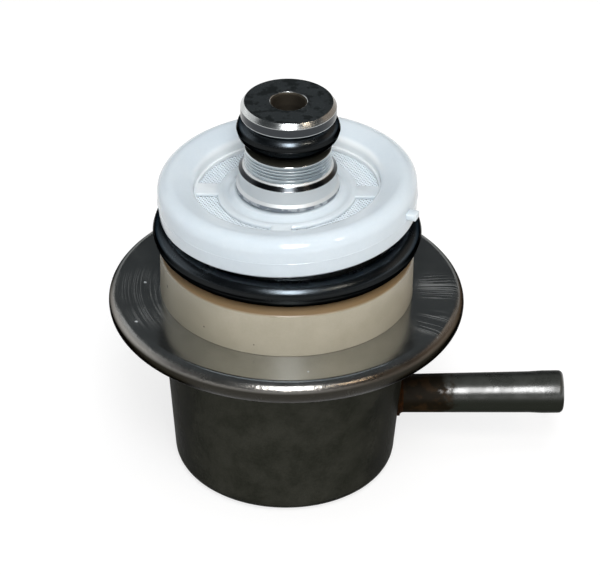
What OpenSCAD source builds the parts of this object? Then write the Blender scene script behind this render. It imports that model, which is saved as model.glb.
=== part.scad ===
// Push-in fuel pressure regulator: spring chamber below, strainer and return tube above.
// Millimetres. The origin is the centre of the spring cup's bottom face.
// +Z runs up the axis to the return tube's nose, and +X runs along the vacuum nipple.

/* [Flange and crimp] */
// Outside diameter of the crimped flange
flange_d = 35.5; // [34:0.1:40]
// Sheet thickness of both housings and of the spring seat
sheet_t = 0.7; // [0.5:0.05:0.8]
// Width of the lip that the crimp turns under
crimp_lip_w = 2.3; // [1.5:0.1:2.6]
// Inside radius of the bend between a housing's wall and its flange
bend_r = 0.5; // [0.3:0.05:0.8]

/* [Spring housing] */
// Height of the cup from its bottom face to the crimp
cup_h = 17.55; // [15:0.05:24]
// Outside diameter of the cup's wall, run on down to its floor
cup_bottom_d = 22; // [20:0.1:23.5]
// Outside diameter of the cup's wall at the crimp
cup_top_d = 24.9; // [23.5:0.1:26]
// Outside radius of the cup's bottom corner
cup_corner_r = 1.8; // [1.2:0.1:3]

/* [Vacuum nipple] */
// Height of the nipple's axis above the cup's bottom face
nipple_z = 7; // [5:0.1:11]
// Distance of the nipple's tip from the cup's axis
nipple_tip_x = 28.3; // [24:0.1:36]
// Outside diameter of the nipple in the cup's wall
nipple_root_d = 3.9; // [3.4:0.05:4.6]
// Outside diameter of the nipple where its bead starts
nipple_end_d = 4.2; // [3.6:0.05:4.8]
// Outside diameter of the bead that grips the hose
nipple_bead_d = 4.35; // [4.1:0.05:5.2]
// Length of the bead with its ramp and rounded tip
nipple_bead_l = 3.5; // [2.5:0.1:5]
// Length of the ramp up to the bead
nipple_ramp_l = 1.4; // [0.4:0.1:1.5]
// Radius of the rounded tip
nipple_tip_r = 0.5; // [0.2:0.05:0.6]
// Bore of the nipple
nipple_bore_d = 2.4; // [1.8:0.1:2.8]
// Reach of the nipple past the inside of the wall
nipple_inside_l = 0.6; // [0.3:0.1:2]
// Radius of the braze between nipple and wall
braze_r = 0.35; // [0.3:0.05:1.2]

/* [Seal and support ring] */
// Inside diameter of the seal O-ring
seal_ring_id = 21.4; // [20:0.1:22.5]
// Cord diameter of the seal O-ring
seal_cord_d = 2.6; // [2:0.05:3]
// Outside diameter of the support ring
support_d = 25.2; // [24.4:0.1:27]
// Height of the support ring
support_h = 5.55; // [4:0.05:8]
// Height of the support ring's bevel
support_bevel_h = 0.95; // [0.3:0.05:1.2]
// Width of the support ring's bevel
support_bevel_w = 0.95; // [0.3:0.05:1.1]

/* [Fuel housing] */
// Outside radius of the fuel housing's top corner
fuel_corner_r = 1; // [0.9:0.05:1.5]
// Diameter of one inlet port
port_d = 2.4; // [1.6:0.1:3]
// Diameter of the circle that the ports lie on
port_circle_d = 15.6; // [14:0.1:16]
// Number of inlet ports
port_count = 6; // [4:1:8]

/* [Strainer] */
// Outside diameter of the strainer at its parting line
strainer_d = 25.7; // [25:0.1:27]
// Outside diameter of the strainer at its lower edge
strainer_low_d = 25.4; // [24.8:0.1:26.8]
// Depth of the skirt below the strainer's resting face
skirt_h = 1.65; // [1:0.05:2]
// Height of the parting line above the resting face
parting_h = 0.1; // [0:0.05:0.4]
// Height of the crown above the resting face
crown_h = 2.45; // [2.2:0.05:3.2]
// Radius of the crown's outer rounding
crown_r = 1.3; // [0.9:0.05:1.4]
// Slope of the crown towards the recess, in degrees
crown_slope = 16; // [8:1:18]
// Diameter of the recess inside the crown
recess_d = 18.4; // [18.2:0.1:19]
// Radius of the recess's top edge
recess_edge_r = 0.4; // [0.2:0.05:0.6]
// Height of the ledge inside the recess
ledge_h = 0.7; // [0.6:0.05:0.9]
// Outside diameter of the mesh windows
window_out_d = 18; // [17.4:0.1:18.2]
// Inside diameter of the mesh windows
window_in_d = 13.8; // [13:0.1:14.6]
// Number of ribs between the windows
rib_count = 4; // [3:1:8]
// Width of a rib
rib_w = 2; // [1:0.1:3]
// Turn of the ribs about the axis, in degrees
rib_turn = -7; // [-45:1:45]
// Height of the hub above the resting face
hub_h = 0.92; // [0.8:0.02:1.2]
// Diameter of the hub's flat top
hub_top_d = 10.6; // [10.2:0.1:11.4]
// Height of the ridge round the hub
ridge_h = 0.65; // [0.5:0.05:0.8]
// Width of the ridge round the hub
ridge_w = 0.5; // [0.3:0.05:0.8]
// Thickness of the mesh
mesh_t = 0.2; // [0.1:0.02:0.25]
// Height of the mesh's top face above the resting face
mesh_top_h = 0.3; // [0.28:0.02:0.4]
// Width of the mesh held under the frame at each edge
mesh_hold_w = 0.5; // [0.3:0.05:0.6]
// Length, width and thickness of the moulding gate's stub
gate_size = [0.9, 1.1, 0.65];
// Height of the gate's stub above the resting face
gate_h = 0.5; // [0.4:0.05:0.8]
// Direction of the gate's stub about the axis, in degrees
gate_turn = -25; // [-60:1:60]

/* [Return tube] */
// Bore of the return tube
tube_bore_d = 3.35; // [2.8:0.05:3.6]
// Diameter of the bore's countersunk mouth
tube_mouth_d = 3.75; // [3.65:0.05:4.4]
// Diameter of the shank through the housing and the strainer
shank_d = 6.8; // [6:0.1:7.2]
// Diameter of the foot that traps the strainer
foot_d = 10.2; // [9.8:0.1:10.2]
// Height of the foot's rim
foot_h = 0.4; // [0.2:0.05:0.8]
// Diameter of the collar
collar_d = 9.7; // [9:0.05:9.75]
// Height of the collar above the foot
collar_h = 1.47; // [1:0.05:3]
// Diameter of the land above the collar
land_d = 8.56; // [8:0.02:8.9]
// Height of the chamfer between collar and land
collar_chamfer_h = 0.54; // [0.4:0.02:1.2]
// Height of the land
land_h = 1.93; // [1:0.05:3]
// Inside diameter of the nose O-ring
nose_ring_id = 5; // [4.6:0.1:5.4]
// Cord diameter of the nose O-ring
nose_cord_d = 2.6; // [2:0.05:2.8]
// Spare width of the O-ring groove below the ring
groove_room = 0.77; // [0.2:0.05:1.2]
// Diameter of the head
head_d = 9.4; // [9:0.02:9.9]
// Height of the head's straight side
head_side_h = 1; // [0.6:0.02:2]
// Diameter of the head's flat face
face_d = 8.7; // [6:0.1:8.9]
// Height of the head's bevelled edge
head_bevel_h = 0.52; // [0.2:0.02:1]

/* [Valve] */
// Thickness of the diaphragm
diaphragm_t = 0.45; // [0.3:0.05:0.6]
// Rise of the diaphragm's centre above its clamped rim
diaphragm_rise = 1.8; // [1.2:0.1:2.2]
// Diameter of the carrier's flange on the diaphragm
carrier_flange_d = 13.2; // [11:0.1:14]
// Thickness of the carrier's flange
carrier_flange_t = 0.8; // [0.5:0.05:1.2]
// Diameter of the carrier's boss round the ball
boss_d = 8.8; // [8.2:0.1:10]
// Diameter of the carrier's stem through the diaphragm
stem_d = 6.4; // [5.4:0.1:7]
// Diameter of the rivet head under the spring seat
rivet_d = 8.2; // [7.4:0.1:8.6]
// Height of the rivet head
rivet_h = 0.9; // [0.6:0.05:1.2]
// Floor left under the ball spring's pocket
pocket_floor_t = 0.5; // [0.3:0.05:0.8]
// Diameter of the valve ball
ball_d = 5.6; // [5.2:0.1:6]
// Height of the ball's ground flat above its centre
ball_flat_h = 1.5; // [1.35:0.05:1.6]
// Outside diameter of the valve seat's land
seat_d = 4.4; // [4.1:0.05:4.5]
// Height of the seat's nose below the shank
seat_nose_h = 0.9; // [0.6:0.05:1.5]
// Height of the retainer's lower face above the ball's centre
retainer_rise = 0.85; // [0.8:0.05:0.95]
// Thickness of the ball's retainer
retainer_t = 0.45; // [0.3:0.05:0.45]
// Diameter of the ball's retainer
retainer_d = 7.4; // [6.8:0.1:7.6]
// Overhang of the carrier's rim that is staked over the retainer
stake_w = 0.25; // [0.15:0.05:0.4]
// Height of the staked rim
stake_h = 0.3; // [0.2:0.05:0.5]

/* [Springs] */
// Wire diameter of the main spring
main_wire_d = 1.7; // [1.4:0.05:1.9]
// Mean coil diameter of the main spring
main_coil_d = 11.4; // [11:0.1:12]
// Turns of the main spring
main_turns = 7; // [5:1:8]
// Wire diameter of the ball spring
ball_wire_d = 0.35; // [0.25:0.05:0.4]
// Mean coil diameter of the ball spring
ball_coil_d = 2.4; // [2:0.1:2.8]
// Turns of the ball spring
ball_turns = 4; // [3:1:5]
// Height of the ball spring from its pocket's floor to its top turn
ball_spring_h = 2.2; // [2:0.1:3]

/* [Clearances] */
// Gap of a pressed, staked or brazed joint
press_gap = 0.02; // [0.01:0.01:0.04]
// Gap between an O-ring or ring and the wall that it sits on
ring_gap = 0.05; // [0.02:0.01:0.08]
// Gap between the clamped edges and the crimp's bead
edge_gap = 0.1; // [0.05:0.05:0.3]
// Gap round the ball in its socket
ball_gap = 0.05; // [0.03:0.01:0.08]
// Gap between the ball's flat and the seat, with room for the ball to swivel
seat_gap = 0.12; // [0.1:0.01:0.2]
// Gap round a spring's wire in its guide
spring_gap = 0.15; // [0.1:0.05:0.25]
// Radial room of the strainer on the housing and the shank
strainer_radial_gap = 0.25; // [0.2:0.05:0.3]
// Axial room between housing and collar, in which the strainer leans
strainer_room = 0.74; // [0.1:0.02:0.9]
// Gap between the seal O-ring and the strainer's low side
strainer_seal_gap = 0.27; // [0.1:0.01:1]

/* [Hidden] */
$fn = 96;
// Finer circles for the thin braze
fine_fn = 480;

// Steps of a rounded corner and of the diaphragm's fold
arc_steps = 10;
fold_steps = 16;
// Steps of a spring round one turn, and sides of its wire
coil_steps = 24;
wire_sides = 10;
// Length by which a cut runs past the face that it opens
cut_over = 1;

// Heights of the crimp, from its lip to its top face
z_spring_flange = cup_h + sheet_t;
z_rim = z_spring_flange + sheet_t;
z_fuel_flange = z_rim + diaphragm_t;
z_flange_top = z_fuel_flange + sheet_t;
bead_r = (z_flange_top - cup_h) / 2;
bead = [flange_d / 2 - bead_r, cup_h + bead_r];
clamped_r = bead[0] - edge_gap;

// The cup's wall leans out, and its corner and bend are tangent to the wall
cup_slope = (cup_top_d - cup_bottom_d) / 2 / cup_h;
cup_lean = atan(cup_slope);
cup_corner = [cup_r(cup_corner_r) - cup_corner_r / cos(cup_lean), cup_corner_r];
cup_bend_z = z_spring_flange - bend_r;
cup_bend = [cup_r(cup_bend_z) + bend_r / cos(cup_lean), cup_bend_z];

// Places along the nipple
nipple_root_x = cup_r(nipple_z);
nipple_start_x = nipple_root_x - sheet_t / cos(cup_lean) - nipple_inside_l;
nipple_bead_x = nipple_tip_x - nipple_bead_l;
nipple_hole_r = nipple_root_d / 2 + press_gap;

// The fuel housing's wall carries the seal, and the rings stack on the flange
wall_r = seal_ring_id / 2 - ring_gap;
wall_in_r = wall_r - sheet_t;
z_support_top = z_flange_top + support_h;
z_seal = z_support_top + ring_gap + seal_cord_d / 2;
z_seal_top = z_seal + seal_cord_d / 2;

// The strainer leans until its low side rests on the housing and its high side meets the foot
strainer_lean = asin((strainer_room - 2 * press_gap) / (wall_r + foot_d / 2));
z_strainer = z_seal_top + strainer_seal_gap + strainer_d / 2 * sin(strainer_lean) + skirt_h;
z_plate_top = z_strainer - press_gap - wall_r * sin(strainer_lean);
skirt_in_r = wall_r + strainer_radial_gap;
mesh_in_r = window_in_d / 2 - mesh_hold_w;
mesh_out_r = window_out_d / 2 + mesh_hold_w;

// Heights along the return tube
z_foot = z_plate_top + hub_h + strainer_room;
z_collar = z_foot + foot_h + (foot_d - collar_d) / 2;
z_land = z_collar + collar_h + collar_chamfer_h;
z_groove = z_land + land_h;
z_nose_ring = z_groove + groove_room + nose_cord_d / 2;
z_head = z_nose_ring + nose_cord_d / 2 + 2 * ring_gap;
z_head_edge = z_head + head_side_h;
z_nose = z_head_edge + head_bevel_h;
groove_r = nose_ring_id / 2 - ring_gap;

// Heights of the valve, from the diaphragm's centre up to the seat
z_centre = z_rim + diaphragm_rise;
z_carrier = z_centre + diaphragm_t;
z_seat_dish = z_centre - sheet_t;
z_rivet = z_seat_dish - rivet_h;
z_pocket = z_rivet + pocket_floor_t;
ball_wire_reach = ball_d / 2 + ball_wire_d / 2 + press_gap;
ball_stand = sqrt(pow(ball_wire_reach, 2) - pow(ball_coil_d / 2, 2));
z_ball = z_pocket + ball_spring_h - ball_wire_d / 2 + ball_stand;
z_retainer = z_ball + retainer_rise;
z_stake = z_retainer + retainer_t + press_gap;
z_seat = z_ball + ball_flat_h + seat_gap;
pocket_r = ball_coil_d / 2 + ball_wire_d / 2 + spring_gap;

// The spring seat's lip guides the main spring, and the diaphragm folds between lip and wall
dish_in_r = (main_coil_d + main_wire_d) / 2 + spring_gap;
dish_r = dish_in_r + sheet_t;
dish_corner_r = sheet_t + spring_gap;
dish_lip_z = z_seat_dish - main_wire_d;
fold_in_r = dish_r + edge_gap;
fold_out_r = wall_in_r - edge_gap;

// Outside radius of the cup's wall at a height
function cup_r(z) = cup_bottom_d / 2 + cup_slope * z;

// Points of an arc about a centre, in a profile of radius and height
function arc(centre, r, from, to) = [
    for (i = [0 : arc_steps])
        let (a = from + (to - from) * i / arc_steps)
            [centre[0] + r * cos(a), centre[1] + r * sin(a)]
];

// Height of the diaphragm's fold above its rim at a radius
function fold_z(r) = diaphragm_rise * (1 + cos(180 * (r - fold_in_r) / (fold_out_r - fold_in_r))) / 2;

// Radius at a step across the diaphragm's fold
function fold_r(i) = fold_in_r + (fold_out_r - fold_in_r) * i / fold_steps;

// Height of a spring's wire after a number of turns, with one closed turn at each end
function coil_z(u, turns, rise, closed) =
    u < 1 ? u * closed
    : u > turns - 1 ? rise - (turns - u) * closed
    : closed + (u - 1) * (rise - 2 * closed) / (turns - 2);

// Coil spring whose wire's centre starts at height zero and ends at the given rise
module coil(coil_d, wire_d, turns, rise) {
    last = coil_steps * turns;
    closed = wire_d + 2 * press_gap;
    points = [
        for (i = [0 : last], k = [0 : wire_sides - 1])
            let (u = i / coil_steps, b = 360 * k / wire_sides, r = (coil_d + wire_d * cos(b)) / 2)
                [r * cos(360 * u), r * sin(360 * u), coil_z(u, turns, rise, closed) + wire_d / 2 * sin(b)]
    ];
    sides = [
        for (i = [0 : last - 1], k = [0 : wire_sides - 1], half = [0, 1])
            let (a = i * wire_sides + k, b = i * wire_sides + (k + 1) % wire_sides)
                half == 0 ? [a, a + wire_sides, b + wire_sides] : [a, b + wire_sides, b]
    ];
    start = [for (k = [0 : wire_sides - 1]) k];
    end = [for (k = [wire_sides - 1 : -1 : 0]) last * wire_sides + k];
    polyhedron(points, concat([start, end], sides));
}

// Places a shape made round the z axis along the nipple
module along_nipple() {
    translate([0, 0, nipple_z]) rotate([0, 90, 0]) children();
}

// Places a shape made on the strainer's resting face where the strainer leans
module on_strainer() {
    translate([0, 0, z_strainer]) rotate([0, -strainer_lean, 0]) rotate([0, 0, rib_turn]) children();
}

// Torus of an O-ring
module o_ring(inside_d, cord_d) {
    rotate_extrude() translate([(inside_d + cord_d) / 2, 0]) circle(d = cord_d);
}

// Solid of the cup's outside, without its flange
module cup_outside(grow) {
    rotate_extrude()
        polygon(concat(
            [[0, -grow]],
            arc(cup_corner, cup_corner_r + grow, -90, -cup_lean),
            [[cup_r(cup_bend_z) + grow / cos(cup_lean), cup_bend_z], [0, cup_bend_z]]
        ));
}

module spring_housing() {
    color([0.19, 0.19, 0.17])
        difference() {
            rotate_extrude()
                polygon(concat(
                    [[0, 0]],
                    arc(cup_corner, cup_corner_r, -90, -cup_lean),
                    arc(cup_bend, bend_r, 180 - cup_lean, 90),
                    [[clamped_r, z_spring_flange], [clamped_r, z_rim]],
                    arc(cup_bend, bend_r + sheet_t, 90, 180 - cup_lean),
                    arc(cup_corner, cup_corner_r - sheet_t, -cup_lean, -90),
                    [[0, sheet_t]]
                ));
            along_nipple()
                translate([0, 0, nipple_start_x])
                    cylinder(r = nipple_hole_r, h = nipple_root_x - nipple_start_x + cut_over);
        }
}

module vacuum_nipple() {
    tip = [nipple_bead_d / 2 - nipple_tip_r, nipple_tip_x - nipple_tip_r];
    mouth = (nipple_bead_d / 2 - nipple_tip_r - nipple_bore_d / 2) / 2;
    color([0.33, 0.33, 0.32])
        along_nipple()
            rotate_extrude()
                polygon(concat(
                    [[nipple_bore_d / 2, nipple_start_x], [nipple_root_d / 2, nipple_start_x]],
                    [[nipple_root_d / 2, nipple_root_x + braze_r], [nipple_end_d / 2, nipple_bead_x]],
                    [[nipple_bead_d / 2, nipple_bead_x + nipple_ramp_l]],
                    arc(tip, nipple_tip_r, 0, 90),
                    [[nipple_bore_d / 2 + mouth, nipple_tip_x], [nipple_bore_d / 2, nipple_tip_x - mouth]]
                ));
}

module braze_fillet() {
    $fn = fine_fn;
    hollow = [nipple_root_d / 2 + braze_r, nipple_root_x + braze_r];
    color([0.42, 0.27, 0.14])
        difference() {
            along_nipple()
                rotate_extrude()
                    polygon(concat(
                        [[nipple_hole_r, nipple_root_x - braze_r]],
                        [[nipple_root_d / 2 + braze_r, nipple_root_x - braze_r]],
                        arc(hollow, braze_r - press_gap, 270, 180),
                        [[nipple_hole_r, nipple_root_x + braze_r]]
                    ));
            cup_outside(press_gap);
        }
}

module main_spring() {
    low = sheet_t + press_gap + main_wire_d / 2;
    high = z_seat_dish - press_gap - main_wire_d / 2;
    color([0.55, 0.56, 0.58])
        translate([0, 0, low])
            coil(main_coil_d, main_wire_d, main_turns, high - low);
}

module spring_seat() {
    corner = [dish_r - dish_corner_r, z_centre - dish_corner_r];
    color([0.62, 0.6, 0.5])
        rotate_extrude()
            polygon(concat(
                [[stem_d / 2 + press_gap, z_seat_dish]],
                arc(corner, dish_corner_r - sheet_t, 90, 0),
                [[dish_in_r, dish_lip_z], [dish_r, dish_lip_z]],
                arc(corner, dish_corner_r, 0, 90),
                [[stem_d / 2 + press_gap, z_centre]]
            ));
}

module diaphragm() {
    color([0.12, 0.12, 0.13])
        rotate_extrude()
            polygon(concat(
                [[stem_d / 2 + ring_gap, z_centre]],
                [for (i = [0 : fold_steps]) [fold_r(i), z_rim + fold_z(fold_r(i))]],
                [[clamped_r, z_rim], [clamped_r, z_fuel_flange]],
                [for (i = [fold_steps : -1 : 0]) [fold_r(i), z_fuel_flange + fold_z(fold_r(i))]],
                [[stem_d / 2 + ring_gap, z_carrier]]
            ));
}

module valve_carrier() {
    flange_r = carrier_flange_d / 2;
    boss_r = boss_d / 2;
    stem_r = stem_d / 2;
    rivet_r = rivet_d / 2;
    counterbore_r = retainer_d / 2 + press_gap;
    color([0.72, 0.6, 0.34])
        difference() {
            rotate_extrude()
                polygon(concat(
                    [[0, z_rivet], [rivet_r - rivet_h, z_rivet]],
                    arc([rivet_r - rivet_h, z_seat_dish], rivet_h, -90, 0),
                    [[stem_r, z_seat_dish], [stem_r, z_carrier]],
                    [[flange_r, z_carrier], [flange_r, z_carrier + carrier_flange_t]],
                    [[boss_r, z_carrier + carrier_flange_t], [boss_r, z_stake + stake_h / 2]],
                    [[boss_r - stake_w, z_stake + stake_h], [counterbore_r - stake_w, z_stake + stake_h]],
                    [[counterbore_r - stake_w, z_stake], [counterbore_r, z_stake]],
                    [[counterbore_r, z_retainer], [0, z_retainer]]
                ));
            translate([0, 0, z_ball]) sphere(r = ball_d / 2 + ball_gap);
            translate([0, 0, z_ball]) cylinder(r = ball_d / 2 + ball_gap, h = retainer_rise + cut_over);
            translate([0, 0, z_pocket]) cylinder(r = pocket_r, h = z_ball - z_pocket);
        }
}

module ball_spring() {
    low = z_pocket + press_gap + ball_wire_d / 2;
    high = z_pocket + ball_spring_h - ball_wire_d / 2;
    color([0.7, 0.71, 0.73])
        translate([0, 0, low])
            coil(ball_coil_d, ball_wire_d, ball_turns, high - low);
}

module valve_ball() {
    color([0.75, 0.76, 0.78])
        translate([0, 0, z_ball])
            difference() {
                sphere(d = ball_d);
                translate([0, 0, ball_flat_h]) cylinder(d = ball_d, h = ball_d);
            }
}

module ball_retainer() {
    color([0.6, 0.61, 0.62])
        difference() {
            translate([0, 0, z_retainer]) cylinder(d = retainer_d, h = retainer_t);
            translate([0, 0, z_ball]) sphere(r = ball_d / 2 + ball_gap);
        }
}

module fuel_housing() {
    corner = [wall_r - fuel_corner_r, z_plate_top - fuel_corner_r];
    bend = [wall_r + bend_r, z_flange_top + bend_r];
    hole_r = shank_d / 2 + press_gap;
    color([0.3, 0.31, 0.31])
        difference() {
            rotate_extrude()
                polygon(concat(
                    [[hole_r, z_plate_top]],
                    arc(corner, fuel_corner_r, 90, 0),
                    arc(bend, bend_r, 180, 270),
                    arc(bead, bead_r, 90, -90),
                    [[bead[0] - crimp_lip_w, cup_h], [bead[0] - crimp_lip_w, z_spring_flange]],
                    arc(bead, bead_r - sheet_t, -90, 90),
                    arc(bend, bend_r + sheet_t, 270, 180),
                    arc(corner, fuel_corner_r - sheet_t, 0, 90),
                    [[hole_r, z_plate_top - sheet_t]]
                ));
            for (i = [0 : port_count - 1])
                rotate([0, 0, 360 * i / port_count])
                    translate([port_circle_d / 2, 0, z_plate_top - sheet_t - cut_over])
                        cylinder(d = port_d, h = sheet_t + 2 * cut_over);
        }
}

module return_tube() {
    bore_r = tube_bore_d / 2;
    seat_r = seat_d / 2;
    shank_r = shank_d / 2;
    foot_r = foot_d / 2;
    collar_r = collar_d / 2;
    land_r = land_d / 2;
    head_r = head_d / 2;
    face_r = face_d / 2;
    mouth_r = tube_mouth_d / 2;
    z_shank = z_seat + seat_nose_h + shank_r - seat_r;
    color([0.72, 0.74, 0.76])
        rotate_extrude()
            polygon(concat(
                [[bore_r, z_seat], [seat_r, z_seat], [seat_r, z_seat + seat_nose_h]],
                [[shank_r, z_shank], [shank_r, z_foot]],
                [[foot_r, z_foot], [foot_r, z_foot + foot_h]],
                [[collar_r, z_collar], [collar_r, z_collar + collar_h]],
                [[land_r, z_land], [land_r, z_groove]],
                [[groove_r, z_groove], [groove_r, z_head]],
                [[head_r, z_head], [head_r, z_head_edge], [face_r, z_nose]],
                [[mouth_r, z_nose], [bore_r, z_nose - (mouth_r - bore_r)]]
            ));
}

module support_ring() {
    in_r = wall_r + ring_gap;
    out_r = support_d / 2;
    color([0.66, 0.62, 0.53])
        rotate_extrude()
            polygon([
                [in_r + bend_r, z_flange_top],
                [out_r, z_flange_top],
                [out_r, z_support_top - support_bevel_h],
                [out_r - support_bevel_w, z_support_top],
                [in_r, z_support_top],
                [in_r, z_flange_top + bend_r]
            ]);
}

module seal_o_ring() {
    color([0.07, 0.07, 0.07])
        translate([0, 0, z_seal]) o_ring(seal_ring_id, seal_cord_d);
}

module strainer_frame() {
    low_r = strainer_low_d / 2;
    crown = [strainer_d / 2 - crown_r - ring_gap, crown_h - crown_r];
    edge_r = recess_d / 2 + recess_edge_r;
    edge_drop = crown_r - recess_edge_r + sin(crown_slope) * (edge_r - crown[0]);
    edge = [edge_r, crown[1] + edge_drop / cos(crown_slope)];
    hub_bore_r = shank_d / 2 + strainer_radial_gap;
    ridge_in_r = window_in_d / 2 - ridge_w;
    low_edge = (skirt_h + parting_h) / 6;
    rib_l = (window_out_d - window_in_d + mesh_hold_w + ridge_w) / 2;
    color([0.87, 0.91, 0.94])
        on_strainer() {
            rotate_extrude()
                polygon(concat(
                    [[skirt_in_r, -skirt_h], [low_r - low_edge, -skirt_h], [low_r, low_edge - skirt_h]],
                    [[strainer_d / 2, parting_h]],
                    arc(crown, crown_r, 0, 90 + crown_slope),
                    arc(edge, recess_edge_r, 90 + crown_slope, 180),
                    [[recess_d / 2, ledge_h], [window_out_d / 2, ledge_h], [window_out_d / 2, mesh_top_h]],
                    [[mesh_out_r + press_gap, mesh_top_h], [mesh_out_r + press_gap, 0], [skirt_in_r, 0]]
                ));
            rotate_extrude()
                polygon([
                    [hub_bore_r, 0],
                    [mesh_in_r - press_gap, 0],
                    [mesh_in_r - press_gap, mesh_top_h],
                    [window_in_d / 2, mesh_top_h],
                    [window_in_d / 2, ridge_h],
                    [ridge_in_r, ridge_h],
                    [(ridge_in_r + hub_top_d / 2) / 2, (mesh_top_h + ridge_h) / 2],
                    [hub_top_d / 2, hub_h],
                    [hub_bore_r, hub_h]
                ]);
            for (i = [0 : rib_count - 1])
                rotate([0, 0, 360 * i / rib_count])
                    translate([window_in_d / 2 - ridge_w / 2, -rib_w / 2, mesh_top_h])
                        cube([rib_l, rib_w, ridge_h - mesh_top_h]);
            rotate([0, 0, gate_turn - rib_turn])
                translate([strainer_d / 2 - crown_r / 2, -gate_size[1] / 2, gate_h - gate_size[2] / 2])
                    cube([crown_r / 2 + gate_size[0], gate_size[1], gate_size[2]]);
        }
}

module strainer_mesh() {
    color([0.74, 0.77, 0.8])
        on_strainer()
            translate([0, 0, mesh_top_h - mesh_t])
                difference() {
                    cylinder(r = mesh_out_r, h = mesh_t);
                    translate([0, 0, -cut_over]) cylinder(r = mesh_in_r, h = mesh_t + 2 * cut_over);
                }
}

module nose_o_ring() {
    color([0.07, 0.07, 0.07])
        translate([0, 0, z_nose_ring]) o_ring(nose_ring_id, nose_cord_d);
}

spring_housing();
vacuum_nipple();
braze_fillet();
main_spring();
spring_seat();
diaphragm();
valve_carrier();
ball_spring();
valve_ball();
ball_retainer();
fuel_housing();
return_tube();
support_ring();
seal_o_ring();
strainer_frame();
strainer_mesh();
nose_o_ring();
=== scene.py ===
"""Looks of a push-in fuel pressure regulator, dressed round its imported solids.

Sizes are in millimetres in the row frame: the origin is the centre of the cup's bottom face,
+Z runs up the axis to the return tube's nose and +X runs along the vacuum nipple.
"""

import logging
import math
from collections.abc import Callable
from dataclasses import dataclass, field
from enum import Enum
from functools import cache, cached_property, partial, reduce

import bmesh
import bpy
from mathutils import Matrix, Vector


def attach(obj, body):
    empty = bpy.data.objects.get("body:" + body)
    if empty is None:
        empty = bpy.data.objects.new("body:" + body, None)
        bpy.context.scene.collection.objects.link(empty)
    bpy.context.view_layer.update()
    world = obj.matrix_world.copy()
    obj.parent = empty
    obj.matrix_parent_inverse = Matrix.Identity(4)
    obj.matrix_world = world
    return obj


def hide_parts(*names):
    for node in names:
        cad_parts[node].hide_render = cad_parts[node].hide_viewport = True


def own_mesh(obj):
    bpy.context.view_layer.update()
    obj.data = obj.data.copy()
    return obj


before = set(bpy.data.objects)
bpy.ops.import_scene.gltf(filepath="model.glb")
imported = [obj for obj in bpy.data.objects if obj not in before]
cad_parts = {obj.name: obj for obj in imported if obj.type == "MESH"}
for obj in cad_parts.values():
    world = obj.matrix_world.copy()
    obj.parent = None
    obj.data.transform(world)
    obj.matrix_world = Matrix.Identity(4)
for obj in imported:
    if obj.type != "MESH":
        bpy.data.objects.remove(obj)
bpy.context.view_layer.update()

LOG = logging.getLogger("regulator")
MM = 0.001
HOUSING = "housing"
SPIN_STEPS = 192
CUTTER_SIDES = 96
CUTTER_LENGTH = 4.0
BEVEL_STEPS = 3
ARC_STEP = math.radians(10)
ARC_R = 15.0
MERGE_GAP = 1e-6
SMOOTH_ANGLE = math.radians(32)

Point = tuple[float, float]
Colour = tuple[float, float, float]
Mark = tuple[float, float, float, float]
Socket = bpy.types.NodeSocket
Feed = Socket | float | tuple | None


class Layer(Enum):
    """Parts of a mesh that can be selected by their place."""

    VERTS = "verts"
    FACES = "faces"


class Work(Enum):
    """Ways to put a tool to a piece."""

    JOIN = "UNION"
    CUT = "DIFFERENCE"


class Slot(Enum):
    """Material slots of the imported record."""

    CUP = "cup_coating"
    NIPPLE = "nipple_steel"
    BRAZE = "braze"
    SPRING = "spring_steel"
    PLATED = "plated_steel"
    DIAPHRAGM = "diaphragm_rubber"
    BRASS = "carrier_brass"
    BALL = "ball_steel"
    FLANGE = "flange_steel"
    TUBE = "polished_steel"
    CREAM = "cream_plastic"
    RUBBER = "seal_rubber"
    NYLON = "white_nylon"
    MESH = "mesh_nylon"


class Axis(Enum):
    """Axes that a piece can be turned on: a point on the axis in mm, and its direction."""

    UPRIGHT = ((0.0, 0.0, 0.0), (0.0, 0.0, 1.0))
    NIPPLE = ((0.0, 0.0, 7.0), (1.0, 0.0, 0.0))

    def place(self, radius: float, along: float) -> Vector:
        """Gives the point at a radius and a length along the axis.

        Args:
            radius, along: Both in mm.

        Returns:
            The point in metres.
        """
        if self is Axis.UPRIGHT:
            return Vector((radius, 0.0, along)) * MM
        return (Vector(self.value[0]) + Vector((along, 0.0, radius))) * MM


def srgb(red: int, green: int, blue: int) -> Colour:
    """Turns a screen colour into the linear colour that the shader works with.

    Args:
        red, green, blue: Screen values from 0 to 255.

    Returns:
        The linear colour.
    """
    shares = [value / 255 for value in (red, green, blue)]
    return tuple(s / 12.92 if s <= 0.04045 else ((s + 0.055) / 1.055) ** 2.4 for s in shares)


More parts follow.
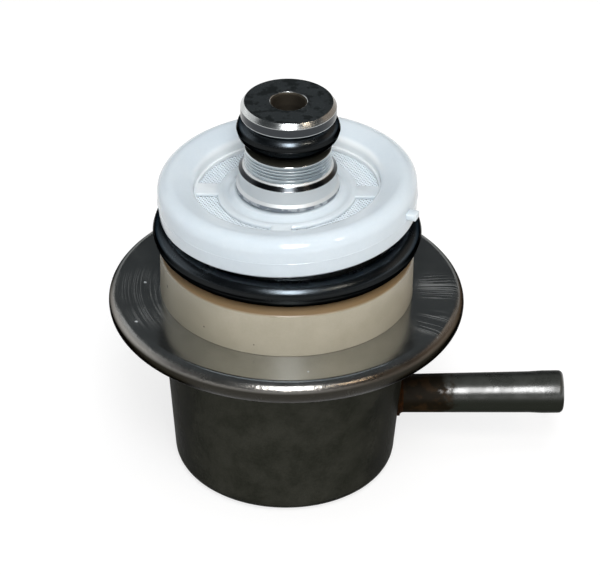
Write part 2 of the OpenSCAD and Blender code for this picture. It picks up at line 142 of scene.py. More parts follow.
class Outline:
    """Half section of a turned piece, as corners of (radius, height) with their own rounding."""

    def __init__(self, closed: bool = True) -> None:
        """Starts an empty outline, closed unless it ends on the axis."""
        self.closed = closed
        self.corners: list[tuple[float, float, float]] = []

    def to(self, radius: float, height: float, rounding: float = 0.0) -> "Outline":
        """Adds a corner, rounded where a rounding is given, and returns the outline."""
        self.corners.append((radius, height, rounding))
        return self

    def arc(self, centre: Point, reach: float, start: float, stop: float) -> "Outline":
        """Adds an arc.

        Args:
            centre: Centre of the arc.
            reach: Radius of the arc.
            start, stop: Angles in degrees, from the outward direction towards the axis's top.

        Returns:
            The outline.
        """
        steps = max(2, math.ceil(math.radians(abs(stop - start)) / ARC_STEP))
        for i in range(steps + 1):
            angle = math.radians(start + (stop - start) * i / steps)
            self.to(centre[0] + reach * math.cos(angle), centre[1] + reach * math.sin(angle))
        return self

    def notch(self, radius: float, height: float, width: float, depth: float) -> "Outline":
        """Adds a fine V groove in an upright wall that runs upwards, and returns the outline."""
        self.to(radius, height - width / 2).to(radius - depth, height)
        return self.to(radius, height + width / 2)

    def path(self) -> list[Point]:
        """Gives the outline's points with every rounding worked out.

        Returns:
            Points of (radius, height), with the first one again at the end of a closed outline.
        """
        points: list[Point] = []
        count = len(self.corners)
        for i, (radius, height, rounding) in enumerate(self.corners):
            here = Vector((radius, height))
            if not rounding:
                points.append((radius, height))
                continue
            back = (Vector(self.corners[i - 1][:2]) - here).normalized()
            onward = (Vector(self.corners[(i + 1) % count][:2]) - here).normalized()
            half = back.angle(onward) / 2
            centre = here + (back + onward).normalized() * rounding / math.sin(half)
            first = here + back * rounding / math.tan(half) - centre
            last = here + onward * rounding / math.tan(half) - centre
            steps = max(2, math.ceil((math.pi - 2 * half) / ARC_STEP))
            points += [tuple(centre + first.slerp(last, k / steps) * rounding) for k in range(steps + 1)]
        return points + points[:1] if self.closed else points


class Bench:
    """Modelling steps that the pieces share, each done with Blender's own operators."""

    @staticmethod
    def only(obj: bpy.types.Object) -> None:
        """Selects one object alone and makes it the active one.

        Args:
            obj: The object.
        """
        bpy.ops.object.select_all(action="DESELECT")
        obj.select_set(True)
        bpy.context.view_layer.objects.active = obj

    @staticmethod
    def named(name: str) -> bpy.types.Object:
        """Names the object that an operator has just added and leaves its place in its mesh.

        Args:
            name: Name of the object and of its mesh.

        Returns:
            The object.
        """
        obj = bpy.context.object
        obj.name = obj.data.name = name
        bpy.ops.object.transform_apply(location=True, rotation=True, scale=True)
        return obj

    @classmethod
    def opened(cls, name: str) -> bpy.types.Object:
        """Names the object that an operator has just added and selects all of it in edit mode.

        Args:
            name: Name of the object and of its mesh.

        Returns:
            The object.
        """
        obj = cls.named(name)
        bpy.ops.object.mode_set(mode="EDIT")
        bpy.ops.mesh.select_all(action="SELECT")
        return obj

    @staticmethod
    def pick(obj: bpy.types.Object, layer: Layer, test: Callable[[Vector], bool]) -> None:
        """Selects, in edit mode, what lies where a test says, and nothing else.

        Args:
            obj: The object that is in edit mode.
            layer: Whether vertices or faces are selected.
            test: Takes a place in mm and says whether to select what is there.
        """
        bpy.ops.mesh.select_all(action="DESELECT")
        shape = bmesh.from_edit_mesh(obj.data)
        for item in getattr(shape, layer.value):
            place = item.co if layer is Layer.VERTS else item.calc_center_median()
            if test(place / MM):
                item.select_set(True)
        bmesh.update_edit_mesh(obj.data)

    @staticmethod
    def close(obj: bpy.types.Object) -> bpy.types.Object:
        """Merges doubles, points all faces outwards, leaves edit mode and shades shallow edges smooth.

        Args:
            obj: The object that is in edit mode.

        Returns:
            The object.
        """
        bpy.ops.mesh.select_all(action="SELECT")
        bpy.ops.mesh.remove_doubles(threshold=MERGE_GAP)
        bpy.ops.mesh.normals_make_consistent(inside=False)
        bpy.ops.object.mode_set(mode="OBJECT")
        bpy.ops.object.shade_smooth_by_angle(angle=SMOOTH_ANGLE)
        return obj

    @classmethod
    def lathe(cls, name: str, outline: Outline, axis: Axis = Axis.UPRIGHT) -> bpy.types.Object:
        """Extrudes one vertex along an outline and spins the line round an axis.

        Args:
            name: Name of the new object.
            outline: Half section of the piece.
            axis: Axis that it is spun on.

        Returns:
            The new object, at the origin.
        """
        path = [axis.place(*point) for point in outline.path()]
        bpy.ops.object.select_all(action="DESELECT")
        bpy.ops.mesh.primitive_plane_add(size=MM)
        obj = cls.opened(name)
        bpy.ops.mesh.merge(type="CENTER")
        bpy.ops.mesh.select_all(action="SELECT")
        bpy.ops.transform.translate(value=path[0])
        for here, there in zip(path, path[1:]):
            bpy.ops.mesh.extrude_vertices_move(TRANSFORM_OT_translate={"value": there - here})
        bpy.ops.mesh.select_all(action="SELECT")
        bpy.ops.mesh.spin(
            steps=SPIN_STEPS, angle=math.tau, center=Vector(axis.value[0]) * MM, axis=axis.value[1]
        )
        return cls.close(obj)

    @classmethod
    def block(cls, name: str, low: Vector, high: Vector, rounding: float) -> bpy.types.Object:
        """Makes a bevelled block between two corners in mm.

        Args:
            name: Name of the new object.
            low, high: The block's lowest and highest corner.
            rounding: Width of the bevel on its edges.

        Returns:
            The new object, at the origin.
        """
        bpy.ops.object.select_all(action="DESELECT")
        bpy.ops.mesh.primitive_cube_add(size=1, location=(low + high) / 2 * MM, scale=(high - low) * MM)
        obj = cls.opened(name)
        bpy.ops.mesh.bevel(offset=rounding * MM, segments=BEVEL_STEPS, affect="EDGES")
        return cls.close(obj)

    @classmethod
    def drill(
        cls, radius: float, centre: Vector, turn: tuple[float, float, float] = (0.0, 0.0, 0.0)
    ) -> bpy.types.Object:
        """Makes a plain round cutter, which a boolean uses up.

        Args:
            radius: Its radius in mm.
            centre: Its middle in mm.
            turn: Its Euler turn.

        Returns:
            The cutter.
        """
        bpy.ops.object.select_all(action="DESELECT")
        bpy.ops.mesh.primitive_cylinder_add(
            vertices=CUTTER_SIDES, radius=radius * MM, depth=CUTTER_LENGTH * MM,
            location=centre * MM, rotation=turn,
        )
        return cls.named("cutter")

    @classmethod
    def combine(cls, obj: bpy.types.Object, tool: bpy.types.Object, work: Work) -> None:
        """Joins a tool to an object or cuts it out of it, and removes the tool.

        Args:
            obj: The object that is changed.
            tool: The object that is used up.
            work: Whether the tool is joined or cut out.
        """
        cls.only(obj)
        step = obj.modifiers.new("combine", "BOOLEAN")
        step.operation = work.value
        step.solver = "EXACT"
        step.object = tool
        bpy.ops.object.modifier_apply(modifier=step.name)
        bpy.data.objects.remove(tool, do_unlink=True)
        bpy.ops.object.mode_set(mode="EDIT")
        cls.close(obj)

    @classmethod
    def move(cls, obj: bpy.types.Object, matrix: Matrix) -> None:
        """Puts an object where a matrix says and leaves its place in its mesh.

        Args:
            obj: The object.
            matrix: Its place.
        """
        cls.only(obj)
        obj.matrix_world = matrix
        bpy.ops.object.transform_apply(location=True, rotation=True, scale=True)


class Graph:
    """Adds and links the nodes of one material or node group."""

    def __init__(self, tree: bpy.types.NodeTree) -> None:
        """Keeps the node tree that the nodes go in."""
        self.tree = tree

    def add(self, kind: str, feeds: dict[str | int, Feed], **settings: object) -> bpy.types.Node:
        """Adds a node, sets its options and feeds its inputs.

        Args:
            kind: The node's type, without the words ShaderNode.
            feeds: Sockets to link or values to set, by the input's name or number.
            settings: The node's own options.

        Returns:
            The node.
        """
        node = self.tree.nodes.new("ShaderNode" + kind)
        for option, value in settings.items():
            setattr(node, option, value)
        for key, value in feeds.items():
            self.feed(node.inputs[key], value)
        return node

    def feed(self, target: Socket, value: Feed) -> None:
        """Links a socket to an input, or sets a value on it.

        Args:
            target: The input.
            value: The socket or the value, or None to leave the input as it is.
        """
        if isinstance(value, bpy.types.NodeSocket):
            self.tree.links.new(value, target)
        elif value is not None:
            wide = target.type == "RGBA" and len(value) == 3
            target.default_value = (*value, 1.0) if wide else value

    def math(self, operation: str, first: Feed, second: Feed = None) -> Socket:
        """Adds a Math node and returns its result."""
        return self.add("Math", {0: first, 1: second}, operation=operation).outputs[0]

    def times(self, *values: Feed) -> Feed:
        """Multiplies values and returns the product."""
        return reduce(partial(self.math, "MULTIPLY"), values)

    def most(self, *values: Feed) -> Feed:
        """Gives the greatest of some values."""
        return reduce(partial(self.math, "MAXIMUM"), values)

    def rest(self, share: Feed) -> Socket:
        """Gives what a share leaves of 1."""
        return self.math("SUBTRACT", 1.0, share)

    def total(self, base: Feed, *parts: tuple[Feed, ...]) -> Feed:
        """Adds the product of each part's values to a base and returns the sum."""
        return reduce(partial(self.math, "ADD"), (self.times(*part) for part in parts), base)

    def span(
        self, value: Feed, low: float, high: float, to_low: float = 0.0, to_high: float = 1.0
    ) -> Socket:
        """Maps a range of values smoothly and clamped to another, and returns the result."""
        feeds = {"Value": value, "From Min": low, "From Max": high, "To Min": to_low, "To Max": to_high}
        return self.add("MapRange", feeds, interpolation_type="SMOOTHSTEP").outputs[0]

    def band(self, value: Feed, rise: Point, fall: Point) -> Feed:
        """Gives 1 between the soft limits where a value's mask rises and falls, and 0 outside them."""
        return self.times(self.span(value, *rise), self.span(value, *fall))

    def paint(self, base: Feed, *coats: tuple[Feed, Feed]) -> Feed:
        """Lays colours over a base in their order.

        Args:
            base: The lowest colour.
            coats: The share and the colour of each layer over it.

        Returns:
            The colour that shows.
        """
        for share, colour in coats:
            base = self.add("Mix", {0: share, 6: base, 7: colour}, data_type="RGBA").outputs[2]
        return base

    @cached_property
    def where(self) -> Socket:
        """Object coordinates in mm."""
        spot = self.add("TexCoord", {}).outputs["Object"]
        return self.add("VectorMath", {0: spot, 1: (1 / MM,) * 3}, operation="MULTIPLY").outputs[0]

    @cached_property
    def axes(self) -> tuple[Socket, ...]:
        """The place in mm along X, Y and Z."""
        return tuple(self.add("SeparateXYZ", {0: self.where}).outputs)

    @cached_property
    def polar(self) -> tuple[Socket, Socket]:
        """The distance from the axis, and the arc from the front at ARC_R, both in mm.

        Returns:
            The two lengths.
        """
        across, depth, _ = self.axes
        flat = self.add("CombineXYZ", {0: across, 1: depth}).outputs[0]
        radius = self.add("VectorMath", {0: flat}, operation="LENGTH").outputs["Value"]
        angle = self.math("ARCTAN2", across, self.times(depth, -1.0))
        return radius, self.times(angle, ARC_R)

    def use(self, group: bpy.types.NodeTree, feeds: dict[str, Feed]) -> Socket:
        """Places a shared effect, by the place in mm unless its Vector is fed, and returns its mask."""
        return self.add("Group", {"Vector": self.where, **feeds}, node_tree=group).outputs[0]

    def clouds(self, scale: float) -> Socket:
        """Places soft cloudy patches, so many to the millimetre."""
        return self.use(Effects.mottle(), {"Scale": scale})

    def lines(self, scale: float) -> Socket:
        """Places a lathe tool's fine lines, so many to the millimetre."""
        return self.use(Effects.turned(), {"Scale": scale})

    def spots(self, marks: tuple[Mark, ...]) -> Feed:
        """Joins soft round patches, each given as X, Y, Z and radius, into one mask."""
        names = ("X", "Y", "Z", "Radius")
        return self.most(*(self.use(Effects.patch(), dict(zip(names, mark))) for mark in marks))


class Effects:
    """Shader node groups that several finishes use, each built once."""

    noise_span: Point = (0.3, 0.7)
    scratch_edge: float = 0.75
    scratch_gain: float = -0.4
    scratch_contrast: float = 14.0
    patch_span: Point = (1.0, 0.35)
    speck_span: Point = (0.22, 0.12)

    @staticmethod
    def start(name: str, *numbers: str) -> tuple[Graph, bpy.types.NodeOutputs, Socket]:
        """Starts a group that takes a Vector and some numbers and gives a Mask.

        Args:
            name: Name of the group.
            numbers: Names of its number inputs.

        Returns:
            The group's graph, the sockets that it takes by name, and the Mask's socket.
        """
        tree = bpy.data.node_groups.new(name, "ShaderNodeTree")
        tree.interface.new_socket("Vector", in_out="INPUT", socket_type="NodeSocketVector")
        for number in numbers:
            tree.interface.new_socket(number, in_out="INPUT", socket_type="NodeSocketFloat")
        tree.interface.new_socket("Mask", in_out="OUTPUT", socket_type="NodeSocketFloat")
        taken = tree.nodes.new("NodeGroupInput").outputs
        return Graph(tree), taken, tree.nodes.new("NodeGroupOutput").inputs["Mask"]

    @classmethod
    @cache
    def mottle(cls) -> bpy.types.NodeTree:
        """Gives soft cloudy patches from 0 to 1, Scale of them to the millimetre.

        Returns:
            The group.
        """
        g, take, mask = cls.start("mottle", "Scale")
        feeds = {"Vector": take["Vector"], "Scale": take["Scale"], "Detail": 4.0, "Roughness": 0.6}
        g.feed(mask, g.span(g.add("TexNoise", feeds).outputs[0], *cls.noise_span))
        return g.tree

    @classmethod
    @cache
    def turned(cls) -> bpy.types.NodeTree:
        """Gives fine lines from a lathe tool, Scale of them to the millimetre of radius or height.

        Returns:
            The group.
        """
        g, take, mask = cls.start("turned", "Scale")
        across, depth, height = g.add("SeparateXYZ", {0: take["Vector"]}).outputs
        radius = g.math("SQRT", g.total(g.times(across, across), (depth, depth)))
        feeds = {"W": g.math("ADD", radius, height), "Scale": take["Scale"], "Detail": 3.0}
        lines = g.add("TexNoise", feeds, noise_dimensions="1D")
        g.feed(mask, g.span(lines.outputs[0], *cls.noise_span))
        return g.tree

    @classmethod
    @cache
    def scratches(cls) -> bpy.types.NodeTree:
        """Gives thin straight scratches along X, with Share of the surface scratched.

        Returns:
            The group.
        """
        g, take, mask = cls.start("scratches", "Spacing", "Length", "Share")
        across, depth, _ = g.add("SeparateXYZ", {0: take["Vector"]}).outputs
        along = g.math("DIVIDE", across, take["Length"])
        flat = g.add("CombineXYZ", {0: along, 1: g.math("DIVIDE", depth, take["Spacing"])})
        feeds = {"Vector": flat.outputs[0], "Scale": 1.0, "Detail": 0.0}
        noise = g.add("TexNoise", feeds, noise_dimensions="2D")
        edge = g.total(cls.scratch_edge, (take["Share"], cls.scratch_gain))
        line = g.times(g.math("SUBTRACT", noise.outputs[0], edge), cls.scratch_contrast)
        g.feed(mask, g.add("Clamp", {0: line}).outputs[0])
        return g.tree

    @classmethod
    @cache
    def patch(cls) -> bpy.types.NodeTree:
        """Gives a soft round patch about a place, 1 in its middle and 0 past its Radius.

        Returns:
            The group.
        """
        g, take, mask = cls.start("patch", "X", "Y", "Z", "Radius")
        centre = g.add("CombineXYZ", {0: take["X"], 1: take["Y"], 2: take["Z"]}).outputs[0]
        gap = g.add("VectorMath", {0: take["Vector"], 1: centre}, operation="DISTANCE").outputs["Value"]
        g.feed(mask, g.span(g.math("DIVIDE", gap, take["Radius"]), *cls.patch_span))
        return g.tree

    @classmethod
    @cache
    def specks(cls) -> bpy.types.NodeTree:
        """Gives small separate specks of grit, Scale cells to the millimetre and Share of them filled.

        Returns:
            The group.
        """
        g, take, mask = cls.start("specks", "Scale", "Share")
        cells = g.add("TexVoronoi", {"Vector": take["Vector"], "Scale": take["Scale"]}).outputs
        chance = g.add("SeparateColor", {0: cells["Color"]}).outputs[0]
        filled = g.math("LESS_THAN", chance, take["Share"])
        g.feed(mask, g.times(g.span(cells["Distance"], *cls.speck_span), filled))
        return g.tree


@dataclass
class Layers:
    """What a finish puts on the shader: colour, roughness, relief, and masks of metal and coat."""

    colour: Feed
    rough: Feed
    height: Feed
    metal: Feed = None
    coat: Feed = None


@dataclass(frozen=True)
class Finish:
    """A finish of two mottled tones, with its own roughness range and fine relief."""

    name: str
    tones: tuple[Colour, Colour]
    rough: Point
    metallic: float = 0.0
    specular: float = 0.5
    edge: Colour = (1.0, 1.0, 1.0)
    mottle: float = 0.4
    grain_share: float = 0.25
    relief: float = 0.004
    relief_scale: float = 7.0
    scatter: float = 0.0
    scatter_reach: float = 1.0
    coat_rough: float = 0.03
    coat_ior: float = 1.5

    def layers(self, g: Graph) -> Layers:
        """Lays the two tones, the roughness and the relief out.

        Args:
            g: Graph of the material.

        Returns:
            The layers that feed the shader.
        """
        cloud, grain = g.clouds(self.mottle), g.clouds(self.relief_scale)
        mixed = g.total(g.times(cloud, 1 - self.grain_share), (grain, self.grain_share))
        dark, light = self.tones
        return Layers(g.paint(dark, (mixed, light)), g.span(mixed, 0.0, 1.0, *self.rough), grain)

    @cache
    def material(self) -> bpy.types.Material:
        """Makes the finish's material once, with its constants on the shader's own sockets.

        Returns:
            The material.
        """
        made = bpy.data.materials.new(self.name)
        made.use_nodes = True
        g = Graph(made.node_tree)
        shader = made.node_tree.nodes["Principled BSDF"]
        layers = self.layers(g)
        bump = g.add("Bump", {"Strength": 1.0, "Distance": self.relief * MM, "Height": layers.height})
        for key, value in {
            "Metallic": self.metallic if layers.metal is None else layers.metal,
            "Specular IOR Level": self.specular,
            "Specular Tint": self.edge,
            "Subsurface Weight": self.scatter,
            "Subsurface Scale": self.scatter_reach * MM,
            "Subsurface Radius": (1.0, 1.0, 1.0),
            "Coat Roughness": self.coat_rough,
            "Coat IOR": self.coat_ior,
            "Base Color": layers.colour,
            "Roughness": layers.rough,
            "Coat Weight": layers.coat,
            "Normal": bump.outputs[0],
        }.items():
            g.feed(shader.inputs[key], value)
        return made


@dataclass(frozen=True)
class NippleFinish(Finish):
    """Dark polished tube with rust towards its root and painted shade on its underside."""

    rust: tuple[Colour, Colour] = (srgb(31, 26, 18), srgb(50, 37, 23))
    rust_span: Point = (18.2, 16.6)
    rust_waver: float = 1.6
    rust_scales: Point = (0.9, 0.8)
    rust_tone_span: Point = (0.4, 1.0)
    rust_rough: float = 0.35
    rust_relief: float = 4.0
    rust_metal: float = 0.5
    # Painted shade: a darker tone on the tube's underside.
    shade: Colour = srgb(38, 40, 35)
    shade_span: Point = (8.3, 6.9)
    gleam_span: Point = (7.3, 8.0)
    gleam_least: float = 0.5
    far_span: Point = (-0.5, 0.7)

    def layers(self, g: Graph) -> Layers:
        """Adds rust by the distance from the cup, the painted shade of the underside and a gleam where
        both end.

        Args:
            g: Graph of the material.

        Returns:
            The layers that feed the shader.
        """
        base = super().layers(g)
        along, depth, height = g.axes
        patchy, spotted = (g.clouds(scale) for scale in self.rust_scales)
        rusty = g.span(g.total(along, (patchy, self.rust_waver)), *self.rust_span)
        shaded, far = g.span(height, *self.shade_span), g.span(depth, *self.far_span)
        old, fresh = self.rust
        rust = g.paint(old, (g.span(spotted, *self.rust_tone_span), fresh))
        # Painted shade under the tube, with rust over it.
        colour = g.paint(base.colour, (shaded, self.shade), (rusty, rust))
        rough = g.total(base.rough, (rusty, self.rust_rough))
        relief = g.total(base.height, (rusty, spotted, self.rust_relief))
        metal = g.most(g.times(rusty, self.rust_metal), shaded, far)
        worn = g.span(patchy, 0.0, 1.0, self.gleam_least, 1.0)
        gleam = g.times(g.rest(rusty), worn, g.span(height, *self.gleam_span), g.rest(far))
        return Layers(colour, rough, relief, metal, gleam)


@dataclass(frozen=True)
class Scratch:
    """A kind of scratch: its spacing and length in mm, its share of the surface and its strength."""

    spacing: float
    length: float
    share: float
    strength: float

    def draw(self, g: Graph, along: Socket, across: Socket, marks: tuple[Mark, ...]) -> Feed:
        """Draws the scratches in some round patches only.

        Args:
            g: Graph of the material.
            along, across: Lengths in mm along the scratches and across them.
            marks: The patches.

        Returns:
            Their mask.
        """
        flat = g.add("CombineXYZ", {0: along, 1: across}).outputs[0]
        feeds = {"Vector": flat, "Spacing": self.spacing, "Length": self.length, "Share": self.share}
        return g.times(g.use(Effects.scratches(), feeds), g.spots(marks), self.strength)


@dataclass(frozen=True)
class FlangeFinish(Finish):
    """Rolled and crimped steel: fine rings, scratches and light grit, with painted reflection on the rim
    that turns to painted shade downwards.
    """

    # Painted reflection: the rim's grey tone stands in for the reflection along the bead.
    rim: Colour = srgb(166, 163, 158)
    rim_span: Point = (20.1, 19.6)
    rim_rough: float = 0.16
    rim_scale: float = 2.6
    rim_relief: float = 8.0
    # Painted reflection: a warm brown tone on the rim's right side.
    warm_painted_reflection: Colour = srgb(108, 99, 89)
    warm_painted_reflection_span: Point = (0.0, 9.0)
    # Painted shade: a dark tone on the rim at the back.
    back_painted_shade: Colour = srgb(56, 56, 54)
    painted_back_span: Point = (-1.0, 4.0)
    back_rough: tuple[float, float, float, float] = (0.0, 6.0, 0.0, 0.35)
    front_span: Point = (-14.0, -16.5)
    front_gloss: float = 0.1
    # Painted shade: a dark tone on the bead's underside, less metallic at the front.
    under_painted_shade: Colour = srgb(48, 46, 41)
    under_painted_shade_span: Point = (19.6, 19.05)
    under_painted_shade_matt: float = 0.7
    scuff: Colour = srgb(196, 202, 206)
    scuff_matt: float = 0.8
    scratch_rough: float = 0.5
    scratch_relief: float = -2.0
    ring_scale: float = 9.0
    ring_share: float = 0.25
    ring_relief: float = 0.6
    sheen: float = 0.025
    strokes: Scratch = Scratch(0.15, 6.0, 0.4, 0.3)
    curves: Scratch = Scratch(0.12, 8.0, 0.5, 0.13)
    stroke_marks: tuple[Mark, ...] = ((15.0, -0.4, 20.1, 3.2), (14.3, -6.9, 20.1, 2.6))
    curve_marks: tuple[Mark, ...] = ((-13.9, 0.2, 20.1, 4.2), (-13.2, -5.0, 20.1, 3.4))
    grit_marks: tuple[Mark, ...] = (
        (-15.0, -6.1, 20.1, 0.22),
        (14.6, -9.2, 20.0, 0.2),
        (-14.1, 1.0, 20.1, 0.2),
        (1.6, -15.2, 20.1, 0.12),
    )

    def layers(self, g: Graph) -> Layers:
        """Adds rings round the axis, scratched patches, grit, and the rim's painted reflection and
        painted shade.

        Args:
            g: Graph of the material.

        Returns:
            The layers that feed the shader.
        """
        base = super().layers(g)
        across, depth, height = g.axes
        radius, arc = g.polar
        rings, crimped = g.lines(self.ring_scale), g.clouds(self.rim_scale)
        rim, under_painted_shade = g.span(height, *self.rim_span), g.span(height, *self.under_painted_shade_span)
        front = g.span(depth, *self.front_span)
        strokes = self.strokes.draw(g, radius, arc, self.stroke_marks)
        curves = self.curves.draw(g, arc, radius, self.curve_marks)
        scratched = g.times(g.most(strokes, curves), g.rest(rim))
        marked = g.most(scratched, g.spots(self.grit_marks))
        # Painted reflection on the rim, warm on the right, with painted shade at the back.
        rim_painted_reflection = g.paint(
            self.rim,
            (g.span(across, *self.warm_painted_reflection_span), self.warm_painted_reflection),
            (g.span(depth, *self.painted_back_span), self.back_painted_shade),
        )
        colour = g.paint(
            base.colour,
            (g.times(rings, self.ring_share), self.tones[1]),
            (rim, rim_painted_reflection),
            (under_painted_shade, self.under_painted_shade),
            (marked, self.scuff),
        )
        rim_rough = g.total(g.span(depth, *self.back_rough), (front, -self.front_gloss))
        rim_rough = g.math("ADD", rim_rough, self.rim_rough)
        rough = g.total(base.rough, (scratched, self.scratch_rough), (rim, rim_rough))
        relief = g.total(
            g.times(rings, self.ring_relief),
            (scratched, self.scratch_relief),
            (crimped, rim, self.rim_relief),
        )
        # The flat's sheen, the scratches and the painted shade under the front bead take metal away.
        matt = g.total(
            g.times(g.rest(rim), self.sheen),
            (marked, self.scuff_matt),
            (under_painted_shade, front, self.under_painted_shade_matt),
        )
        return Layers(colour, rough, relief, g.rest(matt))


@dataclass(frozen=True)
class TubeFinish(Finish):
    """Turned and polished steel with tool lines, painted shade and painted reflections in bands, a satin
    collar with painted light, and a brown bore.
    """

    # Painted shade: a dark tone on the head's side and on the collar's chamfer, in place of their
    # reflections.
    tint_and_painted_shade: Colour = srgb(62, 65, 68)
    tint_and_painted_shade_spans: tuple[Point, ...] = ((40.14, 40.98), (34.08, 34.42))
    tint_and_painted_shade_rough: float = 0.1
    bevel_span: Point = (41.02, 41.52)
    bevel_rough: float = 0.12
    # Painted reflection: a brown-grey tone on the right end of the head's bevel.
    bevel_end_painted_reflection: Colour = srgb(132, 126, 118)
    bevel_end_painted_reflection_span: Point = (3.0, 4.2)
    face: Colour = srgb(150, 154, 152)
    face_span: Point = (41.52, 41.53)
    face_patches: Point = (0.35, 0.75)
    patch_scale: float = 0.9
    bore: Colour = srgb(90, 84, 74)
    bore_span: Point = (1.82, 1.8)
    bore_rough: float = 0.5
    # Painted reflection: a dull, partly matt olive tone on the floor of the groove under the nose ring.
    groove_painted_reflection: Colour = srgb(72, 72, 64)
    groove_painted_reflection_span: Point = (36.46, 36.62)
    groove_painted_reflection_radii: Point = (4.22, 4.14)
    groove_painted_reflection_matt: float = 0.6
    # Painted shade: a dark tone in the land's fine grooves.
    line: Colour = srgb(84, 88, 92)
    line_painted_shade_span: Point = (35.0, 36.3)
    line_painted_shade_radii: Point = (4.278, 4.273)
    tool_scale: float = 6.0
    tool_share: float = 0.35
    tool_rough: float = 0.05
    # Satin and painted light: a pale, partly matt tone on the collar that brightens it beyond its
    # reflection.
    satin: Colour = srgb(221, 225, 227)
    satin_and_painted_light_spans: tuple[Point, ...] = ((31.0, 34.04), (34.46, 34.6))
    satin_rough: float = 0.35
    satin_matt: float = 0.55
    # Painted reflection: darker streaky patches on the tube's foot.
    foot_painted_reflection: Colour = srgb(128, 134, 142)
    foot_painted_reflection_span: Point = (31.8, 32.34)
    foot_painted_reflection_patches: tuple[float, float, float, float] = (0.2, 0.6, 0.4, 1.0)
    blur: float = 0.04

    def within(self, g: Graph, *spans: Point) -> Feed:
        """Gives 1 at the heights that lie in one of some spans, and 0 outside them.

        Args:
            g: Graph of the material.
            spans: The lowest and the highest height of each.

        Returns:
            Their mask.
        """
        soft = self.blur
        return g.most(*(
            g.band(g.axes[2], (low - soft, low + soft), (high + soft, high - soft)) for low, high in spans
        ))

    def layers(self, g: Graph) -> Layers:
        """Adds the tool's lines, the bands of painted shade and painted reflection, the collar's satin
        with painted light, the bore and painted shade in the land's fine grooves.

        Args:
            g: Graph of the material.

        Returns:
            The layers that feed the shader.
        """
        base = super().layers(g)
        across, _, height = g.axes
        radius, _ = g.polar
        lines, patchy = g.lines(self.tool_scale), g.clouds(self.patch_scale)
        satin, tint_and_painted_shade_mask = self.within(g, *self.satin_and_painted_light_spans), self.within(g, *self.tint_and_painted_shade_spans)
        bevelled, bored = self.within(g, self.bevel_span), g.span(radius, *self.bore_span)
        groove_painted = g.times(self.within(g, self.groove_painted_reflection_span), g.span(radius, *self.groove_painted_reflection_radii))
        colour = g.paint(
            base.colour,
            (g.times(lines, self.tool_share), self.tones[0]),
            (g.times(g.span(patchy, *self.face_patches), g.span(height, *self.face_span)), self.face),
            # Painted reflection on the bevel's right end.
            (g.times(bevelled, g.span(across, *self.bevel_end_painted_reflection_span)), self.bevel_end_painted_reflection),
            # Satin with painted light on the collar.
            (satin, self.satin),
            # Painted reflection on the foot.
            (g.times(g.span(patchy, *self.foot_painted_reflection_patches), self.within(g, self.foot_painted_reflection_span)), self.foot_painted_reflection),
            # Painted shade on the head's side and the chamfer.
            (tint_and_painted_shade_mask, self.tint_and_painted_shade),
            # Painted reflection on the groove's floor.
            (groove_painted, self.groove_painted_reflection),
            # Painted shade in the land's grooves.
            (g.times(self.within(g, self.line_painted_shade_span), g.span(radius, *self.line_painted_shade_radii)), self.line),
            (bored, self.bore),
        )
        rough = g.total(
            base.rough,
            (lines, self.tool_rough),
            (satin, self.satin_rough),
            (tint_and_painted_shade_mask, self.tint_and_painted_shade_rough),
            (bevelled, self.bevel_rough),
            (bored, self.bore_rough),
        )
        matt = g.total(g.times(satin, self.satin_matt), (groove_painted, self.groove_painted_reflection_matt))
        return Layers(colour, rough, lines, g.rest(matt))


@dataclass(frozen=True)
class TurnedFinish(Finish):
    """A metal that shows the lathe tool's fine lines and nothing else."""

    tool_scale: float = 8.0
    tool_share: float = 0.4

    def layers(self, g: Graph) -> Layers:
        """Lays tool lines over the two tones.

        Args:
            g: Graph of the material.

        Returns:
            The layers that feed the shader.
        """
        base = super().layers(g)
        lines = g.lines(self.tool_scale)
        colour = g.paint(base.colour, (g.times(lines, self.tool_share), self.tones[0]))
        return Layers(colour, base.rough, lines)


@dataclass(frozen=True)
class SpeckledFinish(Finish):
    """Moulded plastic or rubber with a little grit on it."""

    grit: Colour = srgb(30, 28, 26)
    grit_scale: float = 0.45
    grit_share: float = 0.02

    def layers(self, g: Graph) -> Layers:
        """Adds separate specks to the two tones.

        Args:
            g: Graph of the material.

        Returns:
            The layers that feed the shader.
        """
        base = super().layers(g)
        grit = g.use(Effects.specks(), {"Scale": self.grit_scale, "Share": self.grit_share})
        return Layers(g.paint(base.colour, (grit, self.grit)), base.rough, base.height)


@dataclass(frozen=True)
class RubberFinish(SpeckledFinish):
    """Black rubber that keeps its glossy tones on top of each ring, with painted shade below."""

    # Painted shade: a dark tone on the lower side of each ring.
    lower_painted_shade: Colour = srgb(37, 39, 40)
    gloss_spans: tuple[tuple[Point, Point], ...] = (
        ((27.42, 27.68), (30.0, 29.0)),
        ((39.04, 39.3), (44.0, 43.0)),
    )

    def layers(self, g: Graph) -> Layers:
        """Keeps the glossy tones on the rings' upper sides and paints shade below them.

        Args:
            g: Graph of the material.

        Returns:
            The layers that feed the shader.
        """
        base = super().layers(g)
        glossy = g.most(*(g.band(g.axes[2], *spans) for spans in self.gloss_spans))
        return Layers(g.paint(self.lower_painted_shade, (glossy, base.colour)), base.rough, base.height)


@dataclass(frozen=True)
class NylonFinish(SpeckledFinish):
    """Translucent white moulding, with painted light at the back of its recess."""

    # Painted light: a paler tone at the back of the recess, where shade falls.
    painted_recess_light: Colour = srgb(240, 246, 250)
    recess_spans: tuple[Point, Point] = ((6.8, 7.4), (9.7, 9.2))
    painted_back_span: Point = (-2.0, 4.0)

    def layers(self, g: Graph) -> Layers:
        """Paints light on the back of the recess.

        Args:
            g: Graph of the material.

        Returns:
            The layers that feed the shader.
        """
        base = super().layers(g)
        radius, _ = g.polar
        painted_light_share = g.times(g.band(radius, *self.recess_spans), g.span(g.axes[1], *self.painted_back_span))
        return Layers(g.paint(base.colour, (painted_light_share, self.painted_recess_light)), base.rough, base.height)


